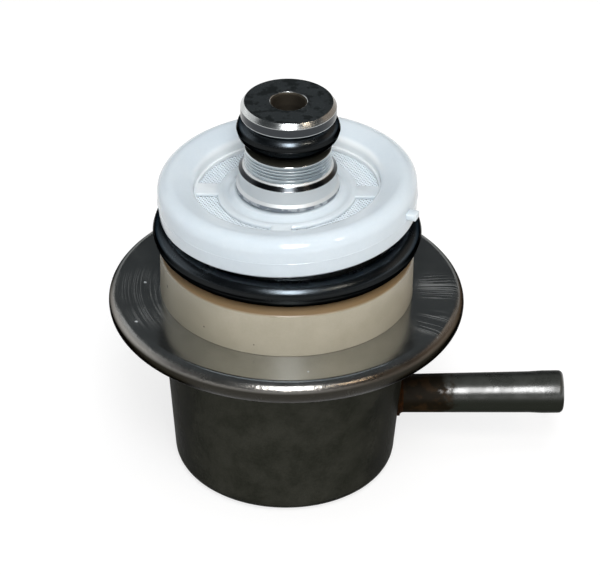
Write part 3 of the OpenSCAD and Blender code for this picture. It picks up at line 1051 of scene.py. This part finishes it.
@dataclass(frozen=True)
class CreamFinish(Finish):
    """Cream plastic, browned by fuel where the seal lies on its bevel and darkened there as painted
    shadow of the seal, with painted shade towards its left end and a few dark dots.
    """

    # A tan stain on the bevel, darkened as painted shadow of the seal.
    tint_and_painted_shade: Colour = srgb(132, 108, 74)
    tint_and_painted_shade_span: Point = (24.62, 24.85)
    tint_and_painted_shade_rough: float = 0.35
    edge_spans: tuple[Point, Point] = ((24.56, 24.62), (24.84, 24.78))
    edge_gloss: float = 0.3
    # Painted shade: a darker, browner tone towards the left end of the ring.
    left_painted_shade: Colour = srgb(147, 141, 124)
    left_painted_shade_span: Point = (-5.0, -11.0)
    dot: Colour = srgb(40, 36, 30)
    dots: tuple[Mark, ...] = (
        (-11.9, -4.1, 22.9, 0.24),
        (-3.6, -12.1, 21.2, 0.1),
        (-8.4, -9.4, 21.6, 0.12),
    )

    def layers(self, g: Graph) -> Layers:
        """Adds painted shade towards the left end, the bevel's stain with painted shadow, and the dots.

        Args:
            g: Graph of the material.

        Returns:
            The layers that feed the shader.
        """
        base = super().layers(g)
        across, _, height = g.axes
        tint_and_painted_shade_mask = g.span(height, *self.tint_and_painted_shade_span)
        colour = g.paint(
            base.colour,
            # Painted shade towards the left end.
            (g.span(across, *self.left_painted_shade_span), self.left_painted_shade),
            # The bevel's stain with painted shadow.
            (tint_and_painted_shade_mask, self.tint_and_painted_shade),
            (g.spots(self.dots), self.dot),
        )
        edged = g.band(height, *self.edge_spans)
        rough = g.total(base.rough, (tint_and_painted_shade_mask, self.tint_and_painted_shade_rough), (edged, -self.edge_gloss))
        return Layers(colour, rough, base.height)


FINISHES: dict[Slot, Finish] = {
    Slot.CUP: Finish(
        "dark satin coating", (srgb(38, 39, 33), srgb(58, 58, 52)), (0.42, 0.54), metallic=0.75,
        specular=0.1, edge=(0.25, 0.25, 0.25), mottle=0.35, relief=0.006, relief_scale=4.0,
    ),
    Slot.NIPPLE: NippleFinish(
        "dark polished tube", (srgb(44, 46, 43), srgb(60, 62, 59)), (0.26, 0.34), specular=0.45,
        edge=(0.5, 0.5, 0.5), mottle=0.5, relief=0.002, coat_rough=0.26, coat_ior=1.9,
    ),
    Slot.BRAZE: Finish(
        "rusty braze", (srgb(26, 18, 11), srgb(66, 40, 19)), (0.5, 0.75), metallic=0.8, mottle=1.6,
        relief=0.03, relief_scale=3.0, specular=0.1, edge=(0.3, 0.25, 0.2),
    ),
    Slot.SPRING: TurnedFinish(
        "spring wire", (srgb(150, 152, 156), srgb(196, 198, 202)), (0.28, 0.4), metallic=1.0,
    ),
    Slot.PLATED: Finish(
        "yellow plating", (srgb(166, 160, 132), srgb(196, 190, 158)), (0.3, 0.45), metallic=1.0,
        mottle=0.6,
    ),
    Slot.DIAPHRAGM: Finish(
        "diaphragm rubber", (srgb(28, 28, 30), srgb(40, 40, 43)), (0.6, 0.75), relief=0.02,
        relief_scale=5.0,
    ),
    Slot.BRASS: TurnedFinish(
        "turned carrier", (srgb(176, 146, 84), srgb(206, 176, 108)), (0.22, 0.34), metallic=1.0,
    ),
    Slot.BALL: Finish(
        "ground ball", (srgb(196, 198, 202), srgb(214, 216, 220)), (0.08, 0.16), metallic=1.0,
        relief=0.0005,
    ),
    Slot.FLANGE: FlangeFinish(
        "scratched flange steel", (srgb(180, 182, 181), srgb(198, 200, 199)), (0.13, 0.22),
        edge=(0.15, 0.15, 0.15), mottle=0.3, relief=0.0012,
    ),
    Slot.TUBE: TubeFinish(
        "polished steel", (srgb(203, 206, 206), srgb(217, 220, 220)), (0.07, 0.14), relief=0.0006,
    ),
    Slot.CREAM: CreamFinish(
        "cream plastic", (srgb(168, 161, 142), srgb(180, 173, 155)), (0.3, 0.4), mottle=0.25,
        relief=0.004, relief_scale=5.0, scatter=0.15, scatter_reach=0.6,
    ),
    Slot.RUBBER: RubberFinish(
        "seal rubber", (srgb(69, 75, 80), srgb(76, 82, 87)), (0.22, 0.28), metallic=1.0, relief=0.002,
        relief_scale=9.0, edge=(0.2, 0.2, 0.2), grit=srgb(120, 118, 112), grit_scale=0.8,
        grit_share=0.012,
    ),
    Slot.NYLON: NylonFinish(
        "white nylon", (srgb(212, 223, 231), srgb(219, 229, 236)), (0.08, 0.13), mottle=0.2, relief=0.003,
        relief_scale=3.0, scatter=0.5, scatter_reach=1.0, grit=srgb(190, 192, 192), grit_share=0.01,
    ),
    Slot.MESH: Finish(
        "woven nylon thread", (srgb(212, 222, 230), srgb(224, 233, 239)), (0.4, 0.55), mottle=1.5,
        relief=0.004, relief_scale=12.0,
    ),
}


class Dresser:
    """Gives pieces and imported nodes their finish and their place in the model."""

    @staticmethod
    def paint(obj: bpy.types.Object, slot: Slot) -> None:
        """Gives an object the slot's finish and no other."""
        obj.data.materials.clear()
        obj.data.materials.append(FINISHES[slot].material())

    @classmethod
    def fit(cls, obj: bpy.types.Object, node: str, slot: Slot) -> None:
        """Paints a piece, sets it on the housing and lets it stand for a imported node.

        Args:
            obj: The new piece.
            node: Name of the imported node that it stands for.
            slot: The record's material slot.
        """
        cls.paint(obj, slot)
        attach(obj, HOUSING)
        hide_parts(node)
        LOG.info("piece %s stands for %s, %d faces", obj.name, node, len(obj.data.polygons))

    @classmethod
    def keep(cls, node: str, slot: Slot) -> None:
        """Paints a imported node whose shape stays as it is."""
        cls.paint(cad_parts[node], slot)
        LOG.info("packed node %s keeps its shape", node)


@dataclass
class SpringSide:
    """The drawn cup with its vacuum nipple and the braze between them."""

    foot_r: float = 11.0
    slope: float = 1.45 / 17.55
    sheet: float = 0.7
    corner_r: float = 1.8
    corner: Point = (9.3426, 1.8)
    bend_r: float = 0.5
    bend: Point = (12.968, 17.75)
    rim_r: float = 16.375
    rim_low: float = 18.25
    hole_r: float = 1.97
    nipple_start: float = 10.276
    nipple_bore_r: float = 1.2
    nipple_root_r: float = 1.95
    nipple_root_end: float = 11.928
    nipple_end_r: float = 2.1
    nipple_bead_r: float = 2.175
    nipple_bead_start: float = 24.8
    nipple_ramp: float = 1.4
    nipple_tip: float = 28.3
    nipple_tip_r: float = 0.5
    root_edge: float = 0.1
    ramp_flow_r: float = 2.0
    mouth_edge: float = 0.05

    def cup(self) -> bpy.types.Object:
        """Turns the cup with its flange and drills the nipple's hole.

        Returns:
            The cup.
        """
        lean = math.degrees(math.atan(self.slope))
        outline = Outline(closed=False).to(0.0, 0.0)
        outline.arc(self.corner, self.corner_r, -90, -lean)
        outline.arc(self.bend, self.bend_r, 180 - lean, 90)
        outline.to(self.rim_r, self.rim_low).to(self.rim_r, self.rim_low + self.sheet)
        outline.arc(self.bend, self.bend_r + self.sheet, 90, 180 - lean)
        outline.arc(self.corner, self.corner_r - self.sheet, -lean, -90)
        outline.to(0.0, self.sheet)
        cup = Bench.lathe("cup_shell", outline)
        centre = Axis.NIPPLE.place(0.0, self.foot_r) / MM
        Bench.combine(cup, Bench.drill(self.hole_r, centre, (0.0, math.pi / 2, 0.0)), Work.CUT)
        return cup

    def nipple(self) -> bpy.types.Object:
        """Turns the nipple with its bead, rounded tip and bore.

        Returns:
            The nipple.
        """
        mouth = (self.nipple_bead_r - self.nipple_tip_r - self.nipple_bore_r) / 2
        outline = Outline()
        outline.to(self.nipple_bore_r, self.nipple_start)
        outline.to(self.nipple_root_r, self.nipple_start, self.root_edge)
        outline.to(self.nipple_root_r, self.nipple_root_end)
        outline.to(self.nipple_end_r, self.nipple_bead_start, self.ramp_flow_r)
        outline.to(self.nipple_bead_r, self.nipple_bead_start + self.nipple_ramp, self.ramp_flow_r)
        tip = (self.nipple_bead_r - self.nipple_tip_r, self.nipple_tip - self.nipple_tip_r)
        outline.arc(tip, self.nipple_tip_r, 0, 90)
        outline.to(self.nipple_bore_r + mouth, self.nipple_tip, self.mouth_edge)
        outline.to(self.nipple_bore_r, self.nipple_tip - mouth, self.mouth_edge)
        return Bench.lathe("nipple_tube", outline, Axis.NIPPLE)

    def build(self) -> None:
        """Builds cup and nipple and dresses them and the braze."""
        Dresser.fit(self.cup(), "spring_housing", Slot.CUP)
        Dresser.fit(self.nipple(), "vacuum_nipple", Slot.NIPPLE)
        Dresser.keep("braze_fillet", Slot.BRAZE)


@dataclass
class FuelSide:
    """The upper drawn shell, whose flange is crimped round the cup's flange."""

    sheet: float = 0.7
    bead: Point = (16.475, 18.825)
    bead_r: float = 1.275
    lip_r: float = 14.175
    bend: Point = (11.15, 20.6)
    bend_r: float = 0.5
    corner: Point = (9.65, 29.298)
    corner_r: float = 1.0
    plate_top: float = 30.298
    hole_r: float = 3.42
    port_r: float = 1.2
    port_circle_r: float = 7.8
    port_count: int = 6
    hole_edge: float = 0.08
    lip_edges: Point = (0.15, 0.05)

    def shell(self) -> bpy.types.Object:
        """Turns the shell with its crimp and drills its inlet ports.

        Returns:
            The shell.
        """
        low = self.bead[1] - self.bead_r
        outline = Outline().to(self.hole_r, self.plate_top, self.hole_edge)
        outline.arc(self.corner, self.corner_r, 90, 0).arc(self.bend, self.bend_r, 180, 270)
        outline.arc(self.bead, self.bead_r, 90, -90)
        outline.to(self.lip_r, low, self.lip_edges[0])
        outline.to(self.lip_r, low + self.sheet, self.lip_edges[1])
        outline.arc(self.bead, self.bead_r - self.sheet, -90, 90)
        outline.arc(self.bend, self.bend_r + self.sheet, 270, 180)
        outline.arc(self.corner, self.corner_r - self.sheet, 0, 90)
        outline.to(self.hole_r, self.plate_top - self.sheet)
        shell = Bench.lathe("crimped_shell", outline)
        for i in range(self.port_count):
            turn = math.tau * i / self.port_count
            spot = Vector((
                self.port_circle_r * math.cos(turn), self.port_circle_r * math.sin(turn), self.plate_top
            ))
            Bench.combine(shell, Bench.drill(self.port_r, spot), Work.CUT)
        return shell

    def build(self) -> None:
        """Builds the shell and dresses it."""
        Dresser.fit(self.shell(), "fuel_housing", Slot.FLANGE)


def o_ring(
    name: str, centre: Point, cord_r: float, flash: float = 0.035, spread: float = 1.6
) -> bpy.types.Object:
    """Turns an O-ring with the thin flash line of its mould, inside and outside.

    Args:
        name: Name of the ring.
        centre: Centre of its cord, as radius and height.
        cord_r: Radius of its cord.
        flash: Height of the flash line.
        spread: Half the flash line's width, as a share of its height.

    Returns:
        The ring.
    """
    edge = math.degrees(flash / cord_r) * spread
    outline = Outline()
    for middle in (0.0, 180.0):
        outline.arc(centre, cord_r - flash, middle + edge, middle + 180.0 - edge)
        tip = math.radians(middle + 180.0)
        outline.to(centre[0] + cord_r * math.cos(tip), centre[1] + cord_r * math.sin(tip))
    return Bench.lathe(name, outline)


@dataclass
class RailSeal:
    """The cream support ring and the large O-ring above it."""

    in_r: float = 10.7
    out_r: float = 12.6
    low: float = 20.1
    top: float = 25.65
    bevel: float = 0.95
    foot_chamfer: float = 0.5
    edge_r: float = 0.12
    foot_edge: float = 0.06
    seal: Point = (12.0, 27.0)
    seal_cord_r: float = 1.3

    def support(self) -> bpy.types.Object:
        """Turns the support ring with its bevel.

        Returns:
            The ring.
        """
        outline = Outline().to(self.in_r + self.foot_chamfer, self.low, self.edge_r)
        outline.to(self.out_r, self.low, self.foot_edge)
        outline.to(self.out_r, self.top - self.bevel, self.edge_r)
        outline.to(self.out_r - self.bevel, self.top, self.edge_r).to(self.in_r, self.top, self.edge_r)
        outline.to(self.in_r, self.low + self.foot_chamfer, self.edge_r)
        return Bench.lathe("support_collar", outline)

    def build(self) -> None:
        """Builds both rings and dresses them."""
        Dresser.fit(self.support(), "support_ring", Slot.CREAM)
        Dresser.fit(o_ring("rail_seal", self.seal, self.seal_cord_r), "seal_o_ring", Slot.RUBBER)


@dataclass
class Strainer:
    """The white strainer ring with its mesh, which leans a little on its seat."""

    rest: float = 30.791
    lean: float = 2.547
    turn: float = -7.0
    skirt_in_r: float = 10.9
    skirt_low: float = -1.65
    low_r: float = 12.7
    low_chamfer: float = 0.2917
    parting_r: float = 12.85
    parting_h: float = 0.1
    fin: float = 0.04
    crown: Point = (11.5, 1.15)
    crown_r: float = 1.3
    crown_slope: float = 16.0
    recess_r: float = 9.2
    recess_edge_r: float = 0.75
    soft_r: float = 0.22
    ledge: float = 0.7
    window_out_r: float = 9.0
    window_in_r: float = 6.9
    mesh_top: float = 0.3
    mesh_out_r: float = 9.5
    mesh_in_r: float = 6.4
    mesh_gap: float = 0.02
    mesh_pitch: float = 0.3
    mesh_turn: float = 32.0
    mesh_sink: float = 0.1
    mesh_wave: float = 0.03
    thread: float = 0.235
    thread_press: float = 0.6
    hub_bore_r: float = 3.65
    hub_top_r: float = 5.3
    hub_h: float = 0.92
    ridge_h: float = 0.65
    ridge_in_r: float = 6.4
    rib_w: float = 2.0
    rib_count: int = 4
    gate: tuple[float, float, float] = (0.9, 1.1, 0.65)
    gate_h: float = 0.5
    gate_turn: float = -25.0
    gate_edge: float = 0.08
    skirt_edge: float = 0.1
    low_edge: float = 0.15
    fin_edge: float = 0.02
    ledge_edges: Point = (0.12, 0.06)
    bore_edge: float = 0.08
    rib_bite: float = 0.25
    rib_inset: float = 0.01
    rib_edge: float = 0.06

    def place(self) -> Matrix:
        """Gives the matrix that leans and turns the strainer on its seat.

        Returns:
            The matrix, in metres.
        """
        spot = Matrix.Translation((0.0, 0.0, self.rest * MM))
        lean = Matrix.Rotation(-math.radians(self.lean), 4, "Y")
        return spot @ lean @ Matrix.Rotation(math.radians(self.turn), 4, "Z")

    def ring(self) -> bpy.types.Object:
        """Turns the outer ring with its skirt, parting line, crown and recess.

        Returns:
            The ring, still upright.
        """
        slope = math.radians(self.crown_slope)
        edge_r = self.recess_r + self.recess_edge_r
        drop = self.crown_r - self.recess_edge_r + math.sin(slope) * (edge_r - self.crown[0])
        edge = (edge_r, self.crown[1] + drop / math.cos(slope))
        outline = Outline().to(self.skirt_in_r, self.skirt_low, self.skirt_edge)
        outline.to(self.low_r - self.low_chamfer, self.skirt_low, self.low_edge)
        outline.to(self.low_r, self.skirt_low + self.low_chamfer, self.low_edge)
        outline.to(self.parting_r - self.fin, self.parting_h - self.fin)
        outline.to(self.parting_r, self.parting_h, self.fin_edge)
        outline.to(self.parting_r - self.fin, self.parting_h + self.fin)
        outline.arc(self.crown, self.crown_r, 0, 90 + self.crown_slope)
        outline.arc(edge, self.recess_edge_r, 90 + self.crown_slope, 180)
        outline.to(self.recess_r, self.ledge, self.ledge_edges[0])
        outline.to(self.window_out_r, self.ledge, self.ledge_edges[1])
        outline.to(self.window_out_r, self.mesh_top)
        slot_r = self.mesh_out_r + self.mesh_gap
        outline.to(slot_r, self.mesh_top).to(slot_r, 0.0).to(self.skirt_in_r, 0.0, self.skirt_edge)
        return Bench.lathe("strainer_ring", outline)

    def hub(self) -> bpy.types.Object:
        """Turns the hub with the ridge round it.

        Returns:
            The hub, still upright.
        """
        slot_r = self.mesh_in_r - self.mesh_gap
        outline = Outline().to(self.hub_bore_r, 0.0, self.bore_edge).to(slot_r, 0.0)
        outline.to(slot_r, self.mesh_top).to(self.window_in_r, self.mesh_top)
        for radius in (self.window_in_r, self.ridge_in_r):
            outline.to(radius, self.ridge_h, self.soft_r)
        valley = (self.ridge_in_r + self.hub_top_r) / 2
        outline.to(valley, (self.mesh_top + self.ridge_h) / 2, 2 * self.soft_r)
        outline.to(self.hub_top_r, self.hub_h, self.soft_r)
        outline.to(self.hub_bore_r, self.hub_h, self.bore_edge)
        return Bench.lathe("strainer_hub", outline)

    def frame_piece(self) -> bpy.types.Object:
        """Joins ring, hub, ribs and the moulding gate's stub into one frame.

        Returns:
            The frame in its place.
        """
        body = self.ring()
        Bench.combine(body, self.hub(), Work.JOIN)
        half = self.rib_w / 2
        low = Vector((self.window_in_r - self.rib_bite, -half, self.mesh_top + self.rib_inset))
        high = Vector((self.window_out_r + self.rib_bite, half, self.ridge_h - self.rib_inset))
        rib = Bench.block("strainer_rib", low, high, self.rib_edge)
        for i in range(self.rib_count):
            copy = rib.copy()
            copy.data = rib.data.copy()
            bpy.context.collection.objects.link(copy)
            Bench.move(copy, Matrix.Rotation(math.tau * i / self.rib_count, 4, "Z"))
            Bench.combine(body, copy, Work.JOIN)
        bpy.data.objects.remove(rib, do_unlink=True)
        length, width, height = self.gate
        low = Vector((self.parting_r - self.crown_r / 2, -width / 2, self.gate_h - height / 2))
        high = Vector((self.parting_r + length, width / 2, self.gate_h + height / 2))
        stub = Bench.block("gate_stub", low, high, self.gate_edge)
        Bench.move(stub, Matrix.Rotation(math.radians(self.gate_turn - self.turn), 4, "Z"))
        Bench.combine(body, stub, Work.JOIN)
        Bench.move(body, self.place())
        body.name = body.data.name = "strainer_moulding"
        return body

    def mesh(self) -> bpy.types.Object:
        """Weaves the mesh: a grid cut to a ring, its crossings set up and down, made into threads.

        Returns:
            The mesh in its place.
        """
        cells = math.ceil(2 * self.mesh_out_r / self.mesh_pitch)
        middle = (0.0, 0.0, (self.mesh_top - self.mesh_sink) * MM)
        bpy.ops.object.select_all(action="DESELECT")
        bpy.ops.mesh.primitive_grid_add(
            x_subdivisions=cells, y_subdivisions=cells, size=cells * self.mesh_pitch * MM,
            location=middle,
        )
        net = Bench.opened("strainer_net")
        margin = self.mesh_pitch
        Bench.pick(net, Layer.FACES, lambda p: not (
            self.mesh_in_r + margin / 2 < p.xy.length < self.mesh_out_r - margin
        ))
        bpy.ops.mesh.delete(type="FACE")
        Bench.pick(net, Layer.VERTS, lambda p: (
            round(p.x / self.mesh_pitch + cells / 2) + round(p.y / self.mesh_pitch + cells / 2)
        ) % 2 == 0)
        bpy.ops.transform.translate(value=(0.0, 0.0, self.mesh_wave * MM))
        bpy.ops.mesh.select_all(action="SELECT")
        bpy.ops.mesh.normals_make_consistent(inside=False)
        bpy.ops.object.mode_set(mode="OBJECT")
        threads = net.modifiers.new("threads", "WIREFRAME")
        threads.thickness = self.thread * MM
        threads.use_even_offset = False
        bpy.ops.object.modifier_apply(modifier=threads.name)
        bpy.ops.object.mode_set(mode="EDIT")
        bpy.ops.mesh.select_all(action="SELECT")
        bpy.ops.transform.resize(value=(1.0, 1.0, self.thread_press), center_override=middle)
        Bench.close(net)
        Bench.move(net, self.place() @ Matrix.Rotation(math.radians(self.mesh_turn), 4, "Z"))
        return net

    def build(self) -> None:
        """Builds frame and mesh and dresses them."""
        Dresser.fit(self.frame_piece(), "strainer_frame", Slot.NYLON)
        Dresser.fit(self.mesh(), "strainer_mesh", Slot.MESH)


@dataclass
class ReturnTube:
    """The turned return tube with its head, collar and nose O-ring."""

    bore_r: float = 1.675
    mouth_r: float = 1.875
    seat_z: float = 26.039
    seat_r: float = 2.2
    seat_nose: float = 0.9
    shank_r: float = 3.4
    shank_z: float = 28.139
    foot_z: float = 31.958
    foot_r: float = 5.1
    foot_h: float = 0.4
    collar_r: float = 4.85
    collar_z: float = 32.608
    collar_top: float = 34.078
    land_r: float = 4.28
    land_z: float = 34.618
    groove_r: float = 2.45
    groove_z: float = 36.548
    head_z: float = 40.018
    head_r: float = 4.7
    head_edge: float = 41.018
    head_bevel: float = 0.52
    face_r: float = 4.35
    nose_ring: Point = (3.8, 38.618)
    nose_cord_r: float = 1.3
    line_heights: tuple[float, ...] = (35.1, 35.45, 35.8, 36.12)
    line_width: float = 0.09
    line_depth: float = 0.01
    mouth_edge: float = 0.04
    fine_edge: float = 0.05
    plain_edge: float = 0.06
    face_edge: float = 0.08
    soft_edge: float = 0.1
    groove_edge: float = 0.2

    def tube(self) -> bpy.types.Object:
        """Turns the tube from its valve seat up to the nose.

        Returns:
            The tube.
        """
        nose = self.head_edge + self.head_bevel
        outline = Outline().to(self.bore_r, self.seat_z, self.fine_edge)
        outline.to(self.seat_r, self.seat_z, self.soft_edge).to(self.seat_r, self.seat_z + self.seat_nose)
        outline.to(self.shank_r, self.shank_z, self.soft_edge)
        for radius in (self.shank_r, self.foot_r):
            outline.to(radius, self.foot_z, self.fine_edge)
        outline.to(self.foot_r, self.foot_z + self.foot_h, self.plain_edge)
        for height in (self.collar_z, self.collar_top):
            outline.to(self.collar_r, height, self.plain_edge)
        outline.to(self.land_r, self.land_z, self.fine_edge)
        for height in self.line_heights:
            outline.notch(self.land_r, height, self.line_width, self.line_depth)
        outline.to(self.land_r, self.groove_z, self.face_edge)
        for height in (self.groove_z, self.head_z):
            outline.to(self.groove_r, height, self.groove_edge)
        outline.to(self.head_r, self.head_z, self.soft_edge)
        outline.to(self.head_r, self.head_edge, self.plain_edge)
        outline.to(self.face_r, nose, self.face_edge).to(self.mouth_r, nose, self.mouth_edge)
        outline.to(self.bore_r, nose - (self.mouth_r - self.bore_r), self.mouth_edge)
        return Bench.lathe("return_pipe", outline)

    def build(self) -> None:
        """Builds tube and nose ring and dresses them."""
        Dresser.fit(self.tube(), "return_tube", Slot.TUBE)
        Dresser.fit(o_ring("nose_seal", self.nose_ring, self.nose_cord_r), "nose_o_ring", Slot.RUBBER)


@dataclass
class ValveTrain:
    """What works inside the can: spring, diaphragm, seat dish, carrier and ball."""

    wire_r: float = 0.85
    coil_r: float = 5.7
    turns: int = 7
    coil_low: float = 0.72
    coil_high: float = 20.03
    closed_pitch: float = 1.74
    wire_sides: int = 12
    turn_steps: int = 28
    stem_r: float = 3.25
    fold_in_r: float = 7.5
    fold_out_r: float = 9.85
    fold_steps: int = 20
    clamped_r: float = 16.375
    rim_low: float = 18.95
    rise: float = 1.8
    sheet: float = 0.45
    lift: float = 0.5
    seat_clear: float = 0.004
    kept_nodes: dict[str, Slot] = field(default_factory=lambda: {
        "spring_seat": Slot.PLATED,
        "valve_carrier": Slot.BRASS,
        "ball_spring": Slot.SPRING,
        "valve_ball": Slot.BALL,
        "ball_retainer": Slot.PLATED,
    })

    def coil_height(self, turn: float, rise: float) -> float:
        """Gives the wire's height after a number of turns, with one closed turn at each end.

        Args:
            turn: Turns from the lower end.
            rise: Height of the wire's upper end over its lower end.

        Returns:
            The height in mm.
        """
        if turn < 1:
            return turn * self.closed_pitch
        if turn > self.turns - 1:
            return rise - (self.turns - turn) * self.closed_pitch
        return self.closed_pitch + (turn - 1) * (rise - 2 * self.closed_pitch) / (self.turns - 2)

    def coil(self) -> bpy.types.Object:
        """Extrudes a ring of wire round the axis, step by step, and closes its ends.

        Returns:
            The main spring.
        """
        low = self.coil_low + self.wire_r
        rise = self.coil_high - self.wire_r - low
        step = math.tau / self.turn_steps
        bpy.ops.object.select_all(action="DESELECT")
        bpy.ops.mesh.primitive_circle_add(
            vertices=self.wire_sides, radius=self.wire_r * MM, rotation=(math.pi / 2, 0.0, 0.0),
            location=(self.coil_r * MM, 0.0, low * MM),
        )
        coil = Bench.opened("pressure_spring")
        for i in range(self.turns * self.turn_steps):
            here, there = (self.coil_height(k / self.turn_steps, rise) for k in (i, i + 1))
            bpy.ops.mesh.extrude_edges_move(
                TRANSFORM_OT_translate={"value": (0.0, 0.0, (there - here) * MM)}
            )
            bpy.ops.transform.rotate(value=-step, orient_axis="Z", center_override=(0.0, 0.0, 0.0))
        bpy.ops.mesh.select_all(action="SELECT")
        bpy.ops.mesh.fill_holes(sides=0)
        return Bench.close(coil)

    def fold(self) -> bpy.types.Object:
        """Turns the diaphragm with its rolled fold.

        Returns:
            The diaphragm.
        """
        across = self.fold_out_r - self.fold_in_r
        wave = []
        for i in range(self.fold_steps + 1):
            share = i / self.fold_steps
            height = self.rise * (1 + math.cos(math.pi * share)) / 2
            wave.append((self.fold_in_r + across * share, height))
        outline = Outline().to(self.stem_r, self.rim_low + self.rise)
        for radius, height in wave:
            outline.to(radius, self.rim_low + height)
        outline.to(self.clamped_r, self.rim_low).to(self.clamped_r, self.rim_low + self.sheet)
        for radius, height in reversed(wave):
            outline.to(radius, self.rim_low + self.sheet + height)
        outline.to(self.stem_r, self.rim_low + self.sheet + self.rise)
        return Bench.lathe("rolling_diaphragm", outline)

    def build(self) -> None:
        """Builds spring and diaphragm, gives each its own mesh, and dresses the rest."""
        coil, fold = self.coil(), self.fold()
        Dresser.fit(coil, "main_spring", Slot.SPRING)
        Dresser.fit(fold, "diaphragm", Slot.DIAPHRAGM)
        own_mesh(coil)
        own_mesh(fold)
        for node, slot in self.kept_nodes.items():
            Dresser.keep(node, slot)


@dataclass(frozen=True)
class Lamp:
    """A soft oblong lamp that faces the object."""

    name: str
    azimuth: float
    elevation: float
    distance: float
    size: Point
    power: float
    colour: Colour = (1.0, 1.0, 1.0)
    mirrored: bool = True

    def place(self, aim: Vector) -> None:
        """Hangs the lamp at its place and points it at the object.

        Args:
            aim: The point that it faces, in metres.
        """
        turn, rise = math.radians(self.azimuth), math.radians(self.elevation)
        back = Vector((math.sin(turn) * math.cos(rise), -math.cos(turn) * math.cos(rise), math.sin(rise)))
        bpy.ops.object.light_add(type="AREA", location=aim + back * self.distance)
        lamp = bpy.context.object
        lamp.name = self.name
        lamp.rotation_euler = back.to_track_quat("Z", "Y").to_euler()
        lamp.data.shape = "RECTANGLE"
        lamp.data.size, lamp.data.size_y = self.size
        lamp.visible_glossy = self.mirrored
        lamp.data.energy = self.power
        lamp.data.color = self.colour


@dataclass
class Studio:
    """Pale floor, soft lamps, dim room and the photograph's camera."""

    floor_r: float = 1000.0
    floor_cove: float = 120.0
    floor_rim: float = 240.0
    floor_drop: float = 0.02
    glow: float = 0.76
    lit_share: float = 0.32
    bounce: float = 0.75
    room: Colour = (0.042, 0.047, 0.05)
    flange: tuple[float, float, float] = (0.0, 0.0, 18.825)
    aim_right: float = 1.35
    aim_up: float = 0.97
    distance: float = 400.0
    azimuth: float = -2.5
    elevation: float = 33.0
    roll: float = 0.8
    lens: float = 239.8
    clip: Point = (0.01, 10.0)
    lamps: tuple[Lamp, ...] = (
        Lamp("main_lamp", 1.0, 45.5, 0.60, (0.16, 0.30), 2.6),
        Lamp("top_lamp", 10.0, 80.0, 0.70, (0.60, 0.60), 2.3, mirrored=False),
        Lamp("warm_lamp", 46.0, 42.0, 0.60, (0.06, 0.06), 0.24, (1.0, 0.82, 0.62)),
        Lamp("left_card", -112.0, 23.0, 0.55, (0.50, 0.30), 0.28),
        Lamp("right_card", 112.0, 22.0, 0.55, (0.46, 0.28), 0.13, (1.0, 0.78, 0.6)),
    )

    def floor(self) -> None:
        """Turns the floor with its low curved rim and paints it white to the camera."""
        outline = Outline(closed=False).to(0.0, -self.floor_drop)
        outline.to(self.floor_r + self.floor_cove, -self.floor_drop, self.floor_cove)
        outline.to(self.floor_r + self.floor_cove, self.floor_rim)
        floor = Bench.lathe("studio_floor", outline)
        paint = bpy.data.materials.new("studio white")
        paint.use_nodes = True
        paint.node_tree.nodes.clear()
        g = Graph(paint.node_tree)
        rays = g.add("LightPath", {}).outputs
        seen = g.most(*(rays[f"Is {kind} Ray"] for kind in ("Camera", "Glossy", "Transmission")))
        plain = g.add("BsdfDiffuse", {"Color": (self.bounce,) * 3})
        shaded = g.add("BsdfDiffuse", {"Color": (self.lit_share,) * 3})
        bright = g.add("Emission", {"Color": (1.0, 1.0, 1.0), "Strength": self.glow})
        shown = g.add("AddShader", {0: shaded.outputs[0], 1: bright.outputs[0]})
        mixed = g.add("MixShader", {0: seen, 1: plain.outputs[0], 2: shown.outputs[0]})
        g.add("OutputMaterial", {"Surface": mixed.outputs[0]})
        floor.data.materials.append(paint)

    def light(self) -> None:
        """Hangs the lamps and dims the room."""
        for lamp in self.lamps:
            lamp.place(Vector(self.flange) * MM)
        world = bpy.data.worlds.new("dim room")
        world.use_nodes = True
        world.node_tree.nodes["Background"].inputs["Color"].default_value = (*self.room, 1.0)
        bpy.context.scene.world = world

    def camera(self) -> None:
        """Sets the camera up as the photograph was taken."""
        turn, rise, roll = (math.radians(angle) for angle in (self.azimuth, self.elevation, self.roll))
        right = Vector((math.cos(turn), math.sin(turn), 0.0))
        away = Vector((-math.sin(turn), math.cos(turn), 0.0))
        up = away * math.sin(rise) + Vector((0.0, 0.0, math.cos(rise)))
        back = right.cross(up)
        aim = (Vector(self.flange) + right * self.aim_right + up * self.aim_up) * MM
        spun_right = right * math.cos(roll) + up * math.sin(roll)
        spun_up = up * math.cos(roll) - right * math.sin(roll)
        bpy.ops.object.camera_add()
        camera = bpy.context.object
        camera.name = "photo_camera"
        axes = Matrix((spun_right, spun_up, back)).transposed()
        camera.matrix_world = Matrix.Translation(aim + back * self.distance * MM) @ axes.to_4x4()
        camera.data.lens = self.lens
        camera.data.clip_start, camera.data.clip_end = self.clip
        bpy.context.scene.camera = camera

    def build(self) -> None:
        """Sets floor, light and camera up, and plain colours."""
        self.floor()
        self.light()
        self.camera()
        bpy.context.scene.view_settings.view_transform = "Standard"
        LOG.info("studio is set up")


def main() -> None:
    """Builds the regulator's sub-assemblies in order, then the studio."""
    logging.basicConfig(level=logging.INFO, format="%(message)s")
    for part in (SpringSide(), FuelSide(), RailSeal(), Strainer(), ReturnTube(), ValveTrain()):
        part.build()
    Studio().build()


if __name__ == "__main__":
    main()
